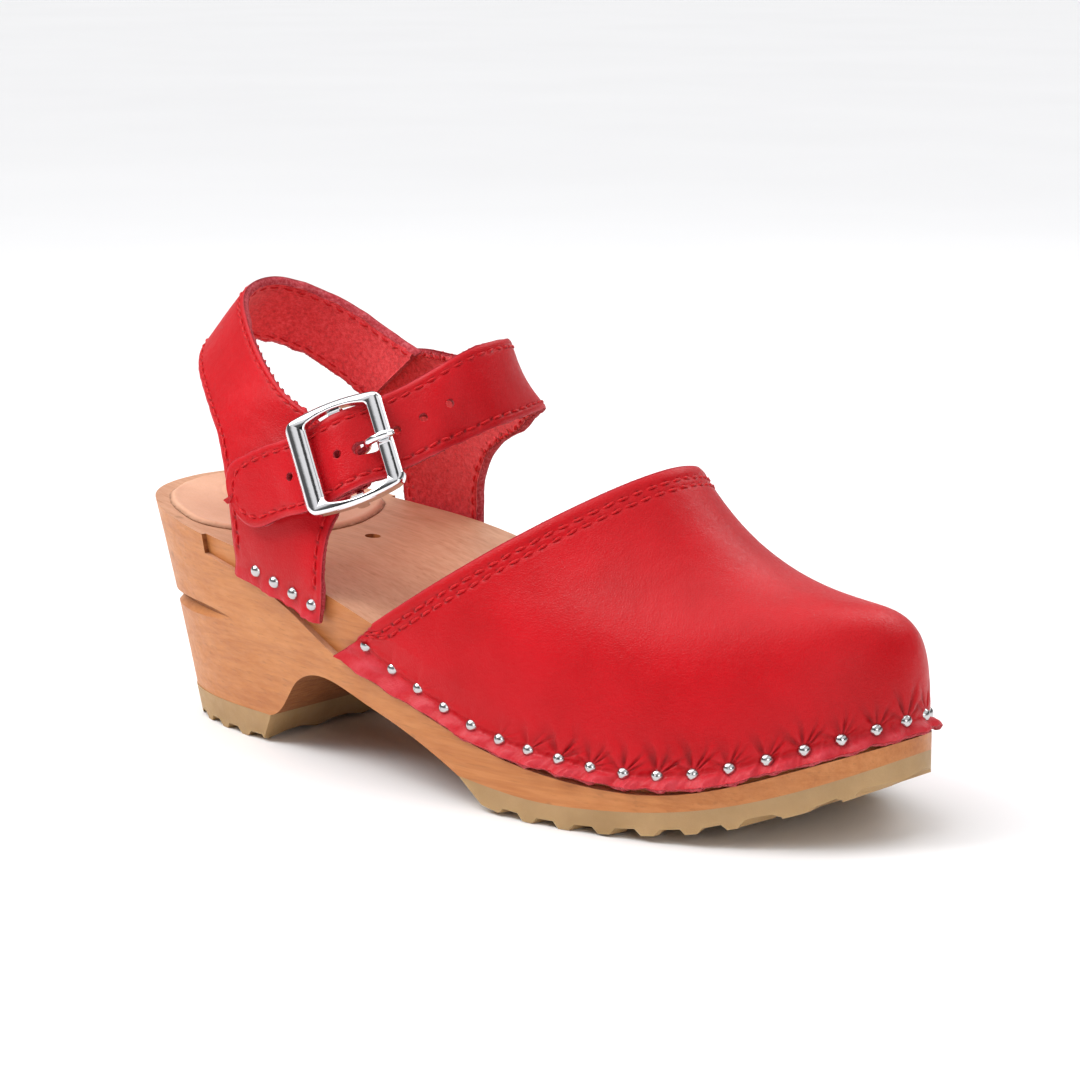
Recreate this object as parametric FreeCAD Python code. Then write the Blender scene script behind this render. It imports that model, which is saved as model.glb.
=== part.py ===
"""Wooden clog with an ankle strap: a carved wooden sole on ridged rubber, a nailed leather vamp,
a nailed heel strap and a punched instep strap that closes with a centre-bar buckle.

Right shoe.  X runs from heel to toe, the buckle side is -Y, Z is up from the ground.
"""
import FreeCAD, Part
import math
import os

Vector = FreeCAD.Vector

# ---- driving dimensions, mm ---------------------------------------------------------------
# Outline of the wooden sole at the rim, from the heel back along the buckle side and round.
RIM = [(2, 0.5), (11, -24), (34, -36), (70, -41.5), (105, -44.5), (140, -45.3), (174, -42.6),
       (207, -33.3), (233, -13.5), (241.5, 6), (233.4, 22.5), (211, 38.2), (178.7, 45.2),
       (149, 45), (109, 43.5), (70, 40.5), (33, 35), (9, 23)]
TOE_KNOT = 9.3                      # outline parameter of the toe tip
RIM_HEIGHT = [(0, 63.2), (40, 56.4), (80, 50.5), (120, 38.7), (160, 25.5), (200, 22.7), (247, 37.5)]
SIDE_TAPER = [(40, 0.2), (80, 0.19), (120, 0.12), (160, 0.03), (200, 0)]
REBATE_DEPTH = [(44, 1.5), (100, 2.0), (160, 3.0), (200, 3.0)]
REBATE_DROP = [(44, 5.4), (57, 6.5), (87, 12), (96, 15), (110, 15), (175, 11), (247, 10)]
FOOTBED_DISH = [(10, 1.0), (40, 2.5), (75, 1.2), (120, 0.6), (180, 2.0), (235, 0.6)]
REBATE_START = 44

HEEL_RUBBER = 8.3                   # thickness of the heel top piece
BREAST_FOOT = 56.8                  # front of the heel on the ground
BREAST_TOP = 62.2                   # front of the heel at the wood
ARCH = [(66, 10), (71, 14.6), (77, 20.7), (82.5, 23.4), (88, 24.3), (96, 23.3), (104, 21),
        (116, 17.6), (129, 12.9), (139.5, 8)]
FOREFOOT_TOP = [(139.5, 8), (150, 6.9), (165, 5.8), (180, 6.2), (212, 10.4), (245, 22.9)]
FOREFOOT_FOOT = [(147, 1.9), (157, 0.4), (170, 0), (185, 0.7), (212, 4.7), (245, 17.3)]
LUG_PITCH = 10.3
LUG_MOUTH = 7.6                     # width of a groove on the ground
LUG_GROOVE = 4.6                    # and at its top
LUG_DEPTH = 1.7
LUG_THINNING = 45.0                 # mm along the toe for each mm that the grooves get shallower
LUG_THINNING_START = 200
LUG_WAVE = 3.0                      # sideways swing of the wavy grooves
LUG_WAVE_PITCH = 18.0
HEEL_CUT_HEIGHT = 33.6              # V-cut round the heel back
HEEL_CUT_MOUTH = 5.6
HEEL_CUT_DEPTH = [(5, 2.6), (30, 2.2), (54, -0.3)]  # by distance from the heel end
LOCATING_HOLE = (65.2, 5.2, 4.3, 9.0)   # x, y, diameter, depth

PAD_THICKNESS = 1.2
PAD_FRONT = 54.5
PAD_MARGIN = 4.5
PAD_ROUND = 46.0                    # radius of the front edge
PAD_ROUND_SIDE = 5.0                # and where its middle lies across the sole

VAMP_LEATHER = 2.0
FIT_GAP = 0.3                       # leather to wood
VAMP_START = (98, 92)               # back corners of the margin, buckle side and far side
VAMP_RIM_START = (110, 104)         # where the top line crosses the rim
VAMP_CREST = (173.8, -2.0, 83.6)    # highest point of the top line
TOPLINE_POWER = 1.97
TOPLINE_PACE = 1.11
WALL_REACH = (28.0, 39.3)           # side, toe
DOME_REACH = (17.4, 62.8)           # side, crest
DOME_SLOPE = (47.8, 52.0)           # degrees, side, crest
WALL_LEAN = -0.04
MARGIN_DROP = [(90, 13.5), (110, 14), (140, 12.2), (175, 9.4), (247, 9.2)]
MARGIN_FLARE = 1.9
NAIL_ABOVE_EDGE = [(105, 8.0), (117, 5.6), (135, 3.8), (150, 3.3), (250, 3.3)]
FACING_WIDTH = 11.0
FACING_ABOVE_EDGE = 16.0            # where the vamp is low
FACING_LEATHER = 0.9
PUFF_LEATHER = 0.8

VAMP_NAILS = 36
NAIL_HEAD = 3.4
NAIL_HEAD_HEIGHT = 1.3
NAIL_SHANK = 1.3
NAIL_LENGTH = 7.5
NAIL_SINK = 0.3                     # how far the heads press into the leather
QUARTER_NAILS = (0.26, 0.91)        # first and last, as shares of the edge
QUARTER_NAIL_RISE = (0.48, 0.42)    # first and last, from the edge to the next station

OUTER_LEATHER = 1.4
LINING_LEATHER = 1.0
STRAP_THICKNESS = OUTER_LEATHER + LINING_LEATHER

# Outer face of the ankle leather: (back or lower edge, front or upper edge, bulge between them).
OUTER_QUARTER = [
    ((59.2, -40.4, 47.7), (92.4, -43.7, 39.4), 0.2),
    ((59.8, -42.1, 56), (94.2, -44.9, 49.0), 0.3),
    ((59.2, -42.6, 64), (93.8, -43.2, 59), 0.8),
    ((57, -41.6, 71.5), (95.2, -39.4, 68), 2.6),
    ((53.5, -39.6, 78), (98, -35.0, 78), 3.8),
    ((49, -36.8, 83), (88, -35.2, 88), 2.4),
    ((42.5, -32.8, 87.4), (77, -35.8, 93.5), 1.4),
    ((34.5, -27.2, 91.2), (66.5, -32.4, 97.8), 0.8),
    ((25.5, -20.3, 95), (53, -25.2, 104), 0.6),
    ((17.2, -12, 98.3), (40, -16.5, 111), 0.6),
    ((12.6, -2.5, 100.6), (29.8, -5.8, 117), 0.6),
    ((14.6, 7.5, 101), (29.2, 5.2, 119), 0.6),
    ((21.5, 15.2, 99), (35.2, 14, 116.4), 0.6),
    ((30, 21.4, 94.4), (45, 20.6, 111), 0.6),
    ((38.2, 25.6, 88.4), (56, 24.2, 104.2), 0.4),
    ((44.5, 27.2, 84), (66, 24.6, 99.8), 0.2),
]
INNER_QUARTER = [
    ((47.1, 38.4, 46.8), (73.4, 41.0, 42.6), 0.6),
    ((46.2, 39.4, 57), (72.4, 42.9, 52), 0.5),
    ((46.2, 38.4, 66), (74.6, 40.6, 62), 0.6),
    ((44.5, 35, 75.5), (81, 37.0, 71.2), 1.4),
    ((42, 31.2, 84), (88.4, 34.2, 76.8), 2.0),
    ((48.5, 29.6, 94), (97, 31, 80.4), 2.2),
    ((61, 28.2, 99.8), (103.5, 27.8, 84.6), 2.0),
    ((77, 26.6, 99.6), (109.6, 24, 87.8), 1.2),
    ((92, 22.8, 102.4), (115.4, 18.2, 90), 0.6),
    ((104, 16, 106.4), (120, 9.5, 90.8), 0.4),
    ((112, 6.5, 109), (122.6, -1.5, 90.2), 0.4),
    ((115, -5, 109.4), (122.2, -11, 88.8), 0.4),
    ((112.8, -16.4, 106.2), (118.4, -19, 85.6), 0.4),
]
# Middle line of the strap's outer face through the buckle, in the buckle's own axes.
STRAP_THROUGH_BUCKLE = [(21, 3.9, -4.5), (15, 2.5, -2.5), (11, 1.8, -1.2), (7.9, 1.5, -0.6),
                        (3.8, 1.1, 1.0), (0, 0.7, 1.7), (-3.8, 0.4, 1.0), (-7.2, 0.4, -0.6),
                        (-11, 0.5, -1.2), (-15.5, 0.7, -2.3)]
STRAP_TIP = [(80, -46.2, 75.2), (72, -46.4, 71.8), (63, -46.2, 68.5)]
STRAP_TIP_ACROSS = (-0.456, 0.02, 0.89)
STRAP_HALF_WIDTH = 10.2
STRAP_TIP_NARROWING = 1.0           # on each side
STRAP_STEP = 3.5                    # between the points that shape the strap
STRAP_HOLE = 2.2
STRAP_HOLE_PITCH = 7.6
STRAP_HOLES = (-3, -2, -1, 1, 2, 3)     # pitches from the hole that the tongue uses
TONGUE_SLOT = (5.5, 2.6, 3.0)       # place, stretch and width of the hole that the tongue uses

BUCKLE_CENTRE = (99.1, -40.15, 83.2)
BUCKLE_ALONG = (0.769, 0.525, 0.365)
BUCKLE_ACROSS = (-0.518, 0.177, 0.837)
BUCKLE_WIDTH = 26.4                 # along the strap
BUCKLE_HEIGHT = 25.0                # across the strap, at the corners
BUCKLE_LEFT_BAR = 5.4
BUCKLE_RIGHT_BAR = 4.4
BUCKLE_RAIL = 2.0
BUCKLE_THICKNESS = 2.6
BUCKLE_ARCH = 1.6                   # outward bow of the two rails
CENTRE_BAR = 2.0
CENTRE_BAR_DEPTH = 3.4              # axis below the back of the side bars
BAR_FIT = 0.06
TONGUE_WIDTH = 2.0
TAB_LEATHER = 1.2
TAB_WIDTH = 16.0
TAB_LENGTH = 15.0
TAB_TILT = 6.8                      # degrees inward, on to the quarter


# ---- curves --------------------------------------------------------------------------------
def along(table, x):
    """Smooth curve through (x, value) points, held level past its ends."""
    x = min(max(x, table[0][0]), table[-1][0])
    last = len(table) - 1
    i = max(k for k in range(last) if table[k][0] <= x)

    def slope(k):
        before, after = table[max(k - 1, 0)], table[min(k + 1, last)]
        return (after[1] - before[1]) / (after[0] - before[0])

    (x0, y0), (x1, y1) = table[i], table[i + 1]
    step = x1 - x0
    t = (x - x0) / step
    value = (2 * t ** 3 - 3 * t ** 2 + 1) * y0 + (3 * t ** 2 - 2 * t ** 3) * y1
    return value + step * ((t ** 3 - 2 * t ** 2 + t) * slope(i) + (t ** 3 - t ** 2) * slope(i + 1))


def outline(t):
    """Point of the rim outline in plan at parameter t, and its outward direction."""
    i = math.floor(t)
    f = t - i
    a, b, c, d = [Vector(*RIM[(i + k) % len(RIM)], 0) for k in (-1, 0, 1, 2)]
    point = (b * 2 + (c - a) * f + (a * 2 - b * 5 + c * 4 - d) * f ** 2
             + (b * 3 - a - c * 3 + d) * f ** 3) * 0.5
    tangent = (c - a) + (a * 2 - b * 5 + c * 4 - d) * (2 * f) + (b * 3 - a - c * 3 + d) * (3 * f * f)
    return point, Vector(tangent.y, -tangent.x, 0).normalize()


def side(t, z, proud=0.0):
    """Point on the side of the sole at parameter t and height z, moved outward by proud."""
    point, out = outline(t)
    grow = along(SIDE_TAPER, point.x) * (z - along(RIM_HEIGHT, point.x)) + proud
    return Vector(point.x + out.x * grow, point.y + out.y * grow, z)


def parameter_at(x, low, high):
    """Outline parameter between low and high where the outline crosses x."""
    rising = outline(high)[0].x > outline(low)[0].x
    for _ in range(40):
        middle = (low + high) / 2
        if (outline(middle)[0].x < x) == rising:
            low = middle
        else:
            high = middle
    return (low + high) / 2


def spaced(low, high, count):
    """Outline parameters from low to high at equal distances along the outline."""
    fine = [low + (high - low) * k / 400 for k in range(401)]
    run = [0.0]
    for first, second in zip(fine, fine[1:]):
        run.append(run[-1] + outline(first)[0].distanceToPoint(outline(second)[0]))
    result = []
    k = 0
    for j in range(count):
        target = run[-1] * j / (count - 1)
        while k < 399 and run[k + 1] < target:
            k += 1
        result.append(fine[k] + (fine[k + 1] - fine[k]) * (target - run[k]) / (run[k + 1] - run[k]))
    return result


def curve_edge(points, periodic=False):
    curve = Part.BSplineCurve()
    curve.interpolate(Points=points, PeriodicFlag=periodic)
    return curve.toShape()


# ---- solids --------------------------------------------------------------------------------
def tapered_body(low, high, proud=0.0):
    """Body inside the side of the sole between two heights."""
    wires = []
    for z in (low, high):
        points = [side(k / 3, z, proud) for k in range(3 * len(RIM))]
        wires.append(Part.Wire([curve_edge(points, periodic=True)]))
    return Part.makeLoft(wires, True, True)


def upright_slab(edges, width=140.0):
    """Solid of a closed outline in the XZ plane, across the whole width."""
    wire = Part.Wire(Part.__sortEdges__(edges))
    wire.translate(Vector(0, -width / 2, 0))
    return Part.Face(wire).extrude(Vector(0, width, 0))


def xz(points):
    return [Vector(x, 0, z) for x, z in points]


def chain(points):
    return [Part.makeLine(a, b) for a, b in zip(points, points[1:])]


def evened(grid, step):
    """The grid resampled at an even pace along its middle line."""
    middle = [line[len(line) // 2] for line in grid]
    pace = [0.0]
    for first, second in zip(middle, middle[1:]):
        pace.append(pace[-1] + first.distanceToPoint(second))
    count = round(pace[-1] / step)
    columns = []
    for j in range(len(grid[0])):
        curve = Part.BSplineCurve()
        curve.interpolate(Points=[line[j] for line in grid], Parameters=pace)
        columns.append([curve.value(pace[-1] * k / count) for k in range(count + 1)])
    return [list(line) for line in zip(*columns)]


def grid_normals(grid):
    """Unit normals of a grid of points, from its neighbours."""
    rows, columns = len(grid), len(grid[0])
    normals = []
    for i in range(rows):
        line = []
        for j in range(columns):
            across = grid[min(i + 1, rows - 1)][j] - grid[max(i - 1, 0)][j]
            up = grid[i][min(j + 1, columns - 1)] - grid[i][max(j - 1, 0)]
            line.append(across.cross(up).normalize())
        normals.append(line)
    return normals


def moved_in(grid, depth):
    """The grid moved against its normals."""
    return [[p - n * depth for p, n in zip(points, line)]
            for points, line in zip(grid, grid_normals(grid))]


def boundary_wires(surface):
    u0, u1, v0, v1 = surface.bounds()
    curves = (surface.uIso(u0), surface.uIso(u1), surface.vIso(v0), surface.vIso(v1))
    return [Part.Wire([curve.toShape()]) for curve in curves]


def sheet(grid, outer_depth, inner_depth):
    """Leather between two depths below a grid of points."""
    surfaces = []
    for depth in (outer_depth, inner_depth):
        surface = Part.BSplineSurface()
        surface.interpolate(moved_in(grid, depth))
        surfaces.append(surface)
    faces = [surface.toShape() for surface in surfaces]
    for outer, inner in zip(boundary_wires(surfaces[0]), boundary_wires(surfaces[1])):
        faces += Part.makeLoft([outer, inner], False, True).Faces
    shell = Part.Shell(faces)
    shell.sewShape()
    solid = Part.Solid(shell)
    if solid.Volume < 0:
        solid.reverse()
    return solid


# ---- sole ----------------------------------------------------------------------------------
def footbed_surface():
    """Top of the sole: level with the rim at the edges, dished in the middle."""
    rows = []
    for x in range(-20, 281, 15):
        rim = along(RIM_HEIGHT, min(max(x, 0), 247))
        dish = along(FOOTBED_DISH, x)
        half = 36 + 8 * math.sin(math.pi * min(max(x, 0), 240) / 240)
        rows.append([Vector(x, y, rim - dish * max(0.0, 1 - (y / half) ** 2) ** 1.5)
                     for y in range(-70, 71, 10)])
    surface = Part.BSplineSurface()
    surface.interpolate(rows)
    return surface.toShape()


def wavy_grooves(start, end, foot):
    """Bars along wavy lines across the sole, wide at the ground; foot gives the ground face's height."""
    bars = []
    x = start
    half_steps = 12
    while x < end:
        depth = LUG_DEPTH - max(0, x - LUG_THINNING_START) / LUG_THINNING
        reach, top = LUG_MOUTH / 2, LUG_GROOVE / 2
        wires = []
        for k in range(half_steps + 1):
            middle = x + LUG_WAVE / 2 * (-1) ** k
            y = (k - half_steps / 2) * LUG_WAVE_PITCH / 2
            low, high = foot(x - reach), foot(x + reach)
            low_top, high_top = foot(x - top) + depth, foot(x + top) + depth
            corners = [(-reach, low - 2), (-reach, low), (-top, low_top), (top, high_top), (reach, high),
                       (reach, high - 2)]
            points = [Vector(middle + side_step, y, z) for side_step, z in corners]
            wires.append(Part.makePolygon(points + points[:1]))
        bars.append(Part.makeLoft(wires, True, True))
        x += LUG_PITCH
    return Part.makeCompound(bars)


def wooden_sole():
    wood = tapered_body(-6, 78)
    wood = wood.cut(footbed_surface().extrude(Vector(0, 0, 60)))
    heel_end = -20
    bottom = xz([(BREAST_TOP, HEEL_RUBBER)] + ARCH)
    forefoot = xz(FOREFOOT_TOP + [(262, 32)])
    edges = [Part.makeLine(Vector(heel_end, 0, HEEL_RUBBER), bottom[0]),
             curve_edge(bottom), curve_edge(forefoot)]
    edges += chain([forefoot[-1], Vector(262, 0, -30), Vector(heel_end, 0, -30),
                    Vector(heel_end, 0, HEEL_RUBBER)])
    wood = wood.cut(upright_slab(edges))
    wood = wood.cut(rebate_tool())
    wood = wood.cut(heel_cut())
    x, y, diameter, depth = LOCATING_HOLE
    hole = Part.makeCylinder(diameter / 2, depth + 20, Vector(x, y, along(RIM_HEIGHT, x) - depth))
    return wood.cut(hole)


def rebate_tool():
    """The step round the sides that takes the leather."""
    stations = [REBATE_START + (247 - REBATE_START) * k / 12 for k in range(13)]
    lower = [(x, along(RIM_HEIGHT, x) - along(REBATE_DROP, x)) for x in stations]
    lower = xz(lower + [(262, 34)])
    edges = [curve_edge(lower)]
    edges += chain([lower[-1], Vector(262, 0, 90), Vector(REBATE_START, 0, 90), lower[0]])
    region = upright_slab(edges)
    wires = []
    for z in (0, 80):
        points = []
        for k in range(3 * len(RIM)):
            t = k / 3
            points.append(side(t, z, -along(REBATE_DEPTH, outline(t)[0].x)))
        wires.append(Part.Wire([curve_edge(points, periodic=True)]))
    return region.cut(Part.makeLoft(wires, True, True))


def heel_cut():
    """V-shaped groove that bites into the heel back and fades out on both sides."""
    half = HEEL_CUT_MOUTH / 2
    wires = []
    for z, share in ((-half, 0), (0, 1), (half, 0)):
        points = []
        for k in range(3 * len(RIM)):
            depth = along(HEEL_CUT_DEPTH, outline(k / 3)[0].x) * share
            points.append(side(k / 3, HEEL_CUT_HEIGHT + z, 0.3 * (1 - share) - depth))
        wires.append(Part.Wire([curve_edge(points, periodic=True)]))
    slab = Part.makeBox(90, 120, HEEL_CUT_MOUTH, Vector(-20, -60, HEEL_CUT_HEIGHT - half))
    return slab.cut(Part.makeLoft(wires, True, True))


def heel_top_piece():
    rubber = tapered_body(-6, 30)
    outline_points = [Vector(-20, 0, 0), Vector(BREAST_FOOT, 0, 0), Vector(BREAST_TOP, 0, HEEL_RUBBER),
                      Vector(-20, 0, HEEL_RUBBER), Vector(-20, 0, 0)]
    rubber = rubber.common(upright_slab(chain(outline_points)))
    return rubber.cut(wavy_grooves(3.5, 60, lambda x: 0.0))


def forefoot_outsole():
    rubber = tapered_body(-6, 60)
    top = xz(FOREFOOT_TOP + [(262, 32)])
    foot = xz(FOREFOOT_FOOT + [(262, 27)])
    edges = [curve_edge(top), curve_edge(foot), Part.makeLine(top[0], foot[0]),
             Part.makeLine(top[-1], foot[-1])]
    rubber = rubber.common(upright_slab(edges))
    ground = FOREFOOT_FOOT + [(262, 27)]
    return rubber.cut(wavy_grooves(157.5, 250, lambda x: along(ground, x)))


def heel_pad():
    """Thin leather sock that follows the footbed from the heel back to a rounded front."""
    back = tapered_body(0, 90, -PAD_MARGIN)
    front = Part.makeCylinder(PAD_ROUND, 60, Vector(PAD_FRONT - PAD_ROUND, PAD_ROUND_SIDE, 30))
    pad = back.common(front)
    surface = footbed_surface()
    lower = surface.extrude(Vector(0, 0, 60))
    raised = surface.copy()
    raised.translate(Vector(0, 0, PAD_THICKNESS))
    return pad.common(lower).cut(raised.extrude(Vector(0, 0, 60)))


# ---- vamp ----------------------------------------------------------------------------------
def vamp_grid(rows=49, columns=29):
    """Outer face of the vamp: margin edge, nail line, rim, then over the dome to the top line."""
    near, far = VAMP_START
    margin = spaced(parameter_at(near, 3, 5.5), parameter_at(far, 13.5, 15.5), rows)
    near, far = VAMP_RIM_START
    rim = spaced(parameter_at(near, 3, 5.5), parameter_at(far, 13.5, 15.5), rows)
    toe = toe_share(rim)

    def hug(t, drop, flare):
        x = outline(t)[0].x
        proud = VAMP_LEATHER + FIT_GAP - along(REBATE_DEPTH, x) + flare
        return side(t, along(RIM_HEIGHT, x) - drop, proud)

    ends = [hug(t, 0, 0) + Vector(0, 0, 3) for t in (rim[0], rim[-1])]
    grid = []
    for i, (low, high) in enumerate(zip(margin, rim)):
        share = i / (rows - 1)
        x = outline(low)[0].x
        drop = along(MARGIN_DROP, x)
        start = hug(high, 0, 0)
        line = []
        for below, flare in ((0, 1), (1.4, 0.5), (3.2, 0), ((drop + 3.2) / 2, 0), (drop, 0)):
            line.append(hug(low + (high - low) * below / drop, drop - below, MARGIN_FLARE * flare))
        line += dome_curve(share, toe, start, outline(high)[1], ends)
        grid.append(curve_edge(line).discretize(Number=columns))
    return grid


def toe_share(parameters):
    """Share of the way along the outline at which the toe tip lies."""
    last = len(parameters) - 1
    return min(k / last for k in range(last + 1) if parameters[k] >= TOE_KNOT)


def dome_curve(share, toe, start, out, ends, steps=12):
    """One line over the dome from the rim to the top line, as a cubic curve."""
    if share < toe:
        turn = 0.5 * (share / toe) ** TOPLINE_PACE
        base = ends[0]
    else:
        turn = 1 - 0.5 * ((1 - share) / (1 - toe)) ** TOPLINE_PACE
        base = ends[1]
    angle = math.pi * turn
    sideways = abs(math.cos(angle)) ** (2 / TOPLINE_POWER)
    upward = math.sin(angle) ** (2 / TOPLINE_POWER) if 0 < turn < 1 else 0.0
    crest = Vector(*VAMP_CREST)
    end = Vector(base.x + (crest.x - base.x) * upward, crest.y + (base.y - crest.y) * sideways,
                 base.z + (crest.z - base.z) * upward)
    at_toe = math.exp(-((share - toe) / 0.22) ** 2)
    at_crest = math.sin(angle) ** 2
    scale = min(1.0, (end - start).Length / 60)
    wall = (WALL_REACH[0] * (1 - at_toe) + WALL_REACH[1] * at_toe) * scale
    reach = (DOME_REACH[0] * (1 - at_crest ** 2) + DOME_REACH[1] * at_crest ** 2) * scale
    slope = math.radians(DOME_SLOPE[0] * (1 - at_crest) + DOME_SLOPE[1] * at_crest)
    up = Vector(out.x * WALL_LEAN, out.y * WALL_LEAN, 1).normalize()
    first = start + up * wall
    second = end + Vector(math.cos(slope), 0, -math.sin(slope)) * reach
    points = []
    for j in range(1, steps + 1):
        v = j / steps
        points.append(start * (1 - v) ** 3 + first * (3 * v * (1 - v) ** 2)
                      + second * (3 * v * v * (1 - v)) + end * v ** 3)
    return points


def dome_point(grid, i, distance):
    """Point on row i, a given distance below the top line along the leather."""
    row = grid[i]
    k = len(row) - 1
    left = distance
    while k > 1 and left > (row[k] - row[k - 1]).Length:
        left -= (row[k] - row[k - 1]).Length
        k -= 1
    return row[k] + (row[k - 1] - row[k]).normalize() * left


def topline_facing(grid):
    """Strip inside the top edge, under the double row of stitches."""
    strip = []
    inner = moved_in(grid, VAMP_LEATHER + 0.05)
    for i in range(4, len(inner) - 4):
        width = min(FACING_WIDTH, (inner[i][-1] - inner[i][0]).Length - FACING_ABOVE_EDGE)
        strip.append([dome_point(inner, i, width * (3 - k) / 3 + 0.4) for k in range(4)])
    return sheet(strip, 0, FACING_LEATHER)


def toe_puff(grid):
    """Thin stiffener inside the toe, from just above the rim to the top of the toe box."""
    middle = len(grid) // 2
    inner = moved_in(grid, VAMP_LEATHER + 0.05)
    patch = []
    for i in range(middle - 9, middle + 10):
        patch.append(inner[i][5:18])
    return sheet(patch, 0, PUFF_LEATHER)


# ---- nails ---------------------------------------------------------------------------------
def nail(seat, out):
    """Domed nail: seat is the middle of the flat underside of the head."""
    radius = NAIL_HEAD / 2
    ball = (radius ** 2 + NAIL_HEAD_HEIGHT ** 2) / (2 * NAIL_HEAD_HEIGHT)
    head = Part.makeSphere(ball, seat + out * (NAIL_HEAD_HEIGHT - ball), out, 0, 90, 360)
    head = head.common(Part.makeCylinder(radius, NAIL_HEAD_HEIGHT, seat, out))
    return head.fuse(nail_hole(seat, out)).removeSplitter()


def nail_hole(seat, out):
    """The shank, which fills its hole."""
    shank = Part.makeCylinder(NAIL_SHANK / 2, NAIL_LENGTH - 1.5, seat - out * (NAIL_LENGTH - 1.5), out)
    return shank.fuse(Part.makeCone(0.1, NAIL_SHANK / 2, 1.5, seat - out * NAIL_LENGTH, out))


def nail_recess(seat, out):
    """What a nail takes out of the leather: the hole and the dent under the head."""
    return nail_hole(seat, out).fuse(Part.makeCylinder(NAIL_HEAD / 2, 3, seat, out)).removeSplitter()


def nail_seats(grid, points):
    """Seat and outward direction of the nails next to these points, each head pressed in a little."""
    surface = Part.BSplineSurface()
    surface.interpolate(grid)
    seats = []
    for point in points:
        u, v = surface.parameter(point)
        along_u, along_v = surface.tangent(u, v)
        out = along_u.cross(along_v).normalize()
        seats.append((surface.value(u, v) - out * NAIL_SINK, out))
    return seats


def vamp_nail_points():
    near, far = VAMP_START
    places = spaced(parameter_at(near + 10.5, 3, 5.5), parameter_at(far + 10.5, 13.5, 15.5), VAMP_NAILS)
    points = []
    for t in places:
        x = outline(t)[0].x
        drop = along(MARGIN_DROP, x) - along(NAIL_ABOVE_EDGE, x)
        points.append(side(t, along(RIM_HEIGHT, x) - drop, VAMP_LEATHER + FIT_GAP - along(REBATE_DEPTH, x)))
    return points


def quarter_nail_points(quarter):
    """Four nails along the lower end of a quarter, in line with its edge."""
    points = []
    for k in range(4):
        share = QUARTER_NAILS[0] + (QUARTER_NAILS[1] - QUARTER_NAILS[0]) * k / 3
        low, high = [Vector(*back) + (Vector(*front) - Vector(*back)) * share
                     for back, front, _ in quarter[:2]]
        rise = QUARTER_NAIL_RISE[0] + (QUARTER_NAIL_RISE[1] - QUARTER_NAIL_RISE[0]) * k / 3
        points.append(low + (high - low) * rise)
    return points


# ---- ankle leather -------------------------------------------------------------------------
def edge_grid(stations, facing):
    """Grid of points between the two edges of a strap, bulged outward in the middle.

    facing is 1 where the outer face turns to the buckle side of the foot at its first station, else -1.
    """
    grid = []
    for i, (low, high, bulge) in enumerate(stations):
        low, high = Vector(*low), Vector(*high)
        before, after = stations[max(i - 1, 0)], stations[min(i + 1, len(stations) - 1)]
        run = Vector(*after[0]) + Vector(*after[1]) - Vector(*before[0]) - Vector(*before[1])
        out = (high - low).cross(run).normalize() * facing
        line = [low + (high - low) * share + out * (4 * bulge * share * (1 - share))
                for share in (0, 0.25, 0.5, 0.75, 1)]
        grid.append(line[::-1] if facing > 0 else line)
    return grid


def strap_end_stations():
    """The end of the instep strap: through the buckle and on to its tip, slightly narrower there."""
    place = frame_placement(Vector(*BUCKLE_CENTRE))
    middles = [place.multVec(Vector(*p)) for p in STRAP_THROUGH_BUCKLE] + [Vector(*p) for p in STRAP_TIP]
    through = len(STRAP_THROUGH_BUCKLE)
    stations = []
    for k, middle in enumerate(middles):
        late = min(1.0, max(0, k - through + 1) / len(STRAP_TIP))
        across = Vector(*BUCKLE_ACROSS) * (1 - late) + Vector(*STRAP_TIP_ACROSS) * late
        reach = across.normalize() * (STRAP_HALF_WIDTH - STRAP_TIP_NARROWING * late)
        stations.append((tuple(middle + reach), tuple(middle - reach), 0.0))
    return stations


def strap_frame():
    """Directions of the strap at the buckle: along to the foot, across upward, outward."""
    direction = Vector(*BUCKLE_ALONG).normalize()
    across = Vector(*BUCKLE_ACROSS)
    outward = direction.cross(across).normalize()
    return direction, outward.cross(direction).normalize(), outward


def punch(solid, tools):
    for tool in tools:
        solid = solid.cut(tool)
    return solid


def strap_hole_tools(grid):
    """Round holes at an even pitch and the stretched hole for the tongue."""
    middle = [row[2] for row in grid]
    line = curve_edge(middle)
    place = frame_placement(Vector(*BUCKLE_CENTRE))
    slot_x, stretch, width = TONGUE_SLOT
    start = line.Curve.parameter(place.multVec(Vector(slot_x + 1, 1, 0)))
    run = line.Curve.length(line.FirstParameter, start)
    tools = []
    for k in STRAP_HOLES:
        at = line.Curve.parameterAtDistance(run + k * STRAP_HOLE_PITCH, line.FirstParameter)
        point = line.Curve.value(at)
        row = min(range(len(grid)), key=lambda i: grid[i][2].distanceToPoint(point))
        out = (grid[row][0] - grid[row][4]).cross(line.tangentAt(at)).normalize()
        tools.append(Part.makeCylinder(STRAP_HOLE / 2, 12, point - out * 6, out))
    slot = Part.makeBox(stretch, width, 9, Vector(-stretch / 2, -width / 2, -4.5))
    slot = slot.fuse([Part.makeCylinder(width / 2, 9, Vector(s * stretch / 2, 0, -4.5)) for s in (-1, 1)])
    slot.Placement = frame_placement(place.multVec(Vector(slot_x, 0, 0)))
    tools.append(slot)
    return tools


def frame_placement(origin):
    """Placement whose X runs along the strap, Y across it and Z outward."""
    direction, across, outward = strap_frame()
    matrix = FreeCAD.Matrix(direction.x, across.x, outward.x, origin.x,
                            direction.y, across.y, outward.y, origin.y,
                            direction.z, across.z, outward.z, origin.z, 0, 0, 0, 1)
    return FreeCAD.Placement(matrix)


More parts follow.
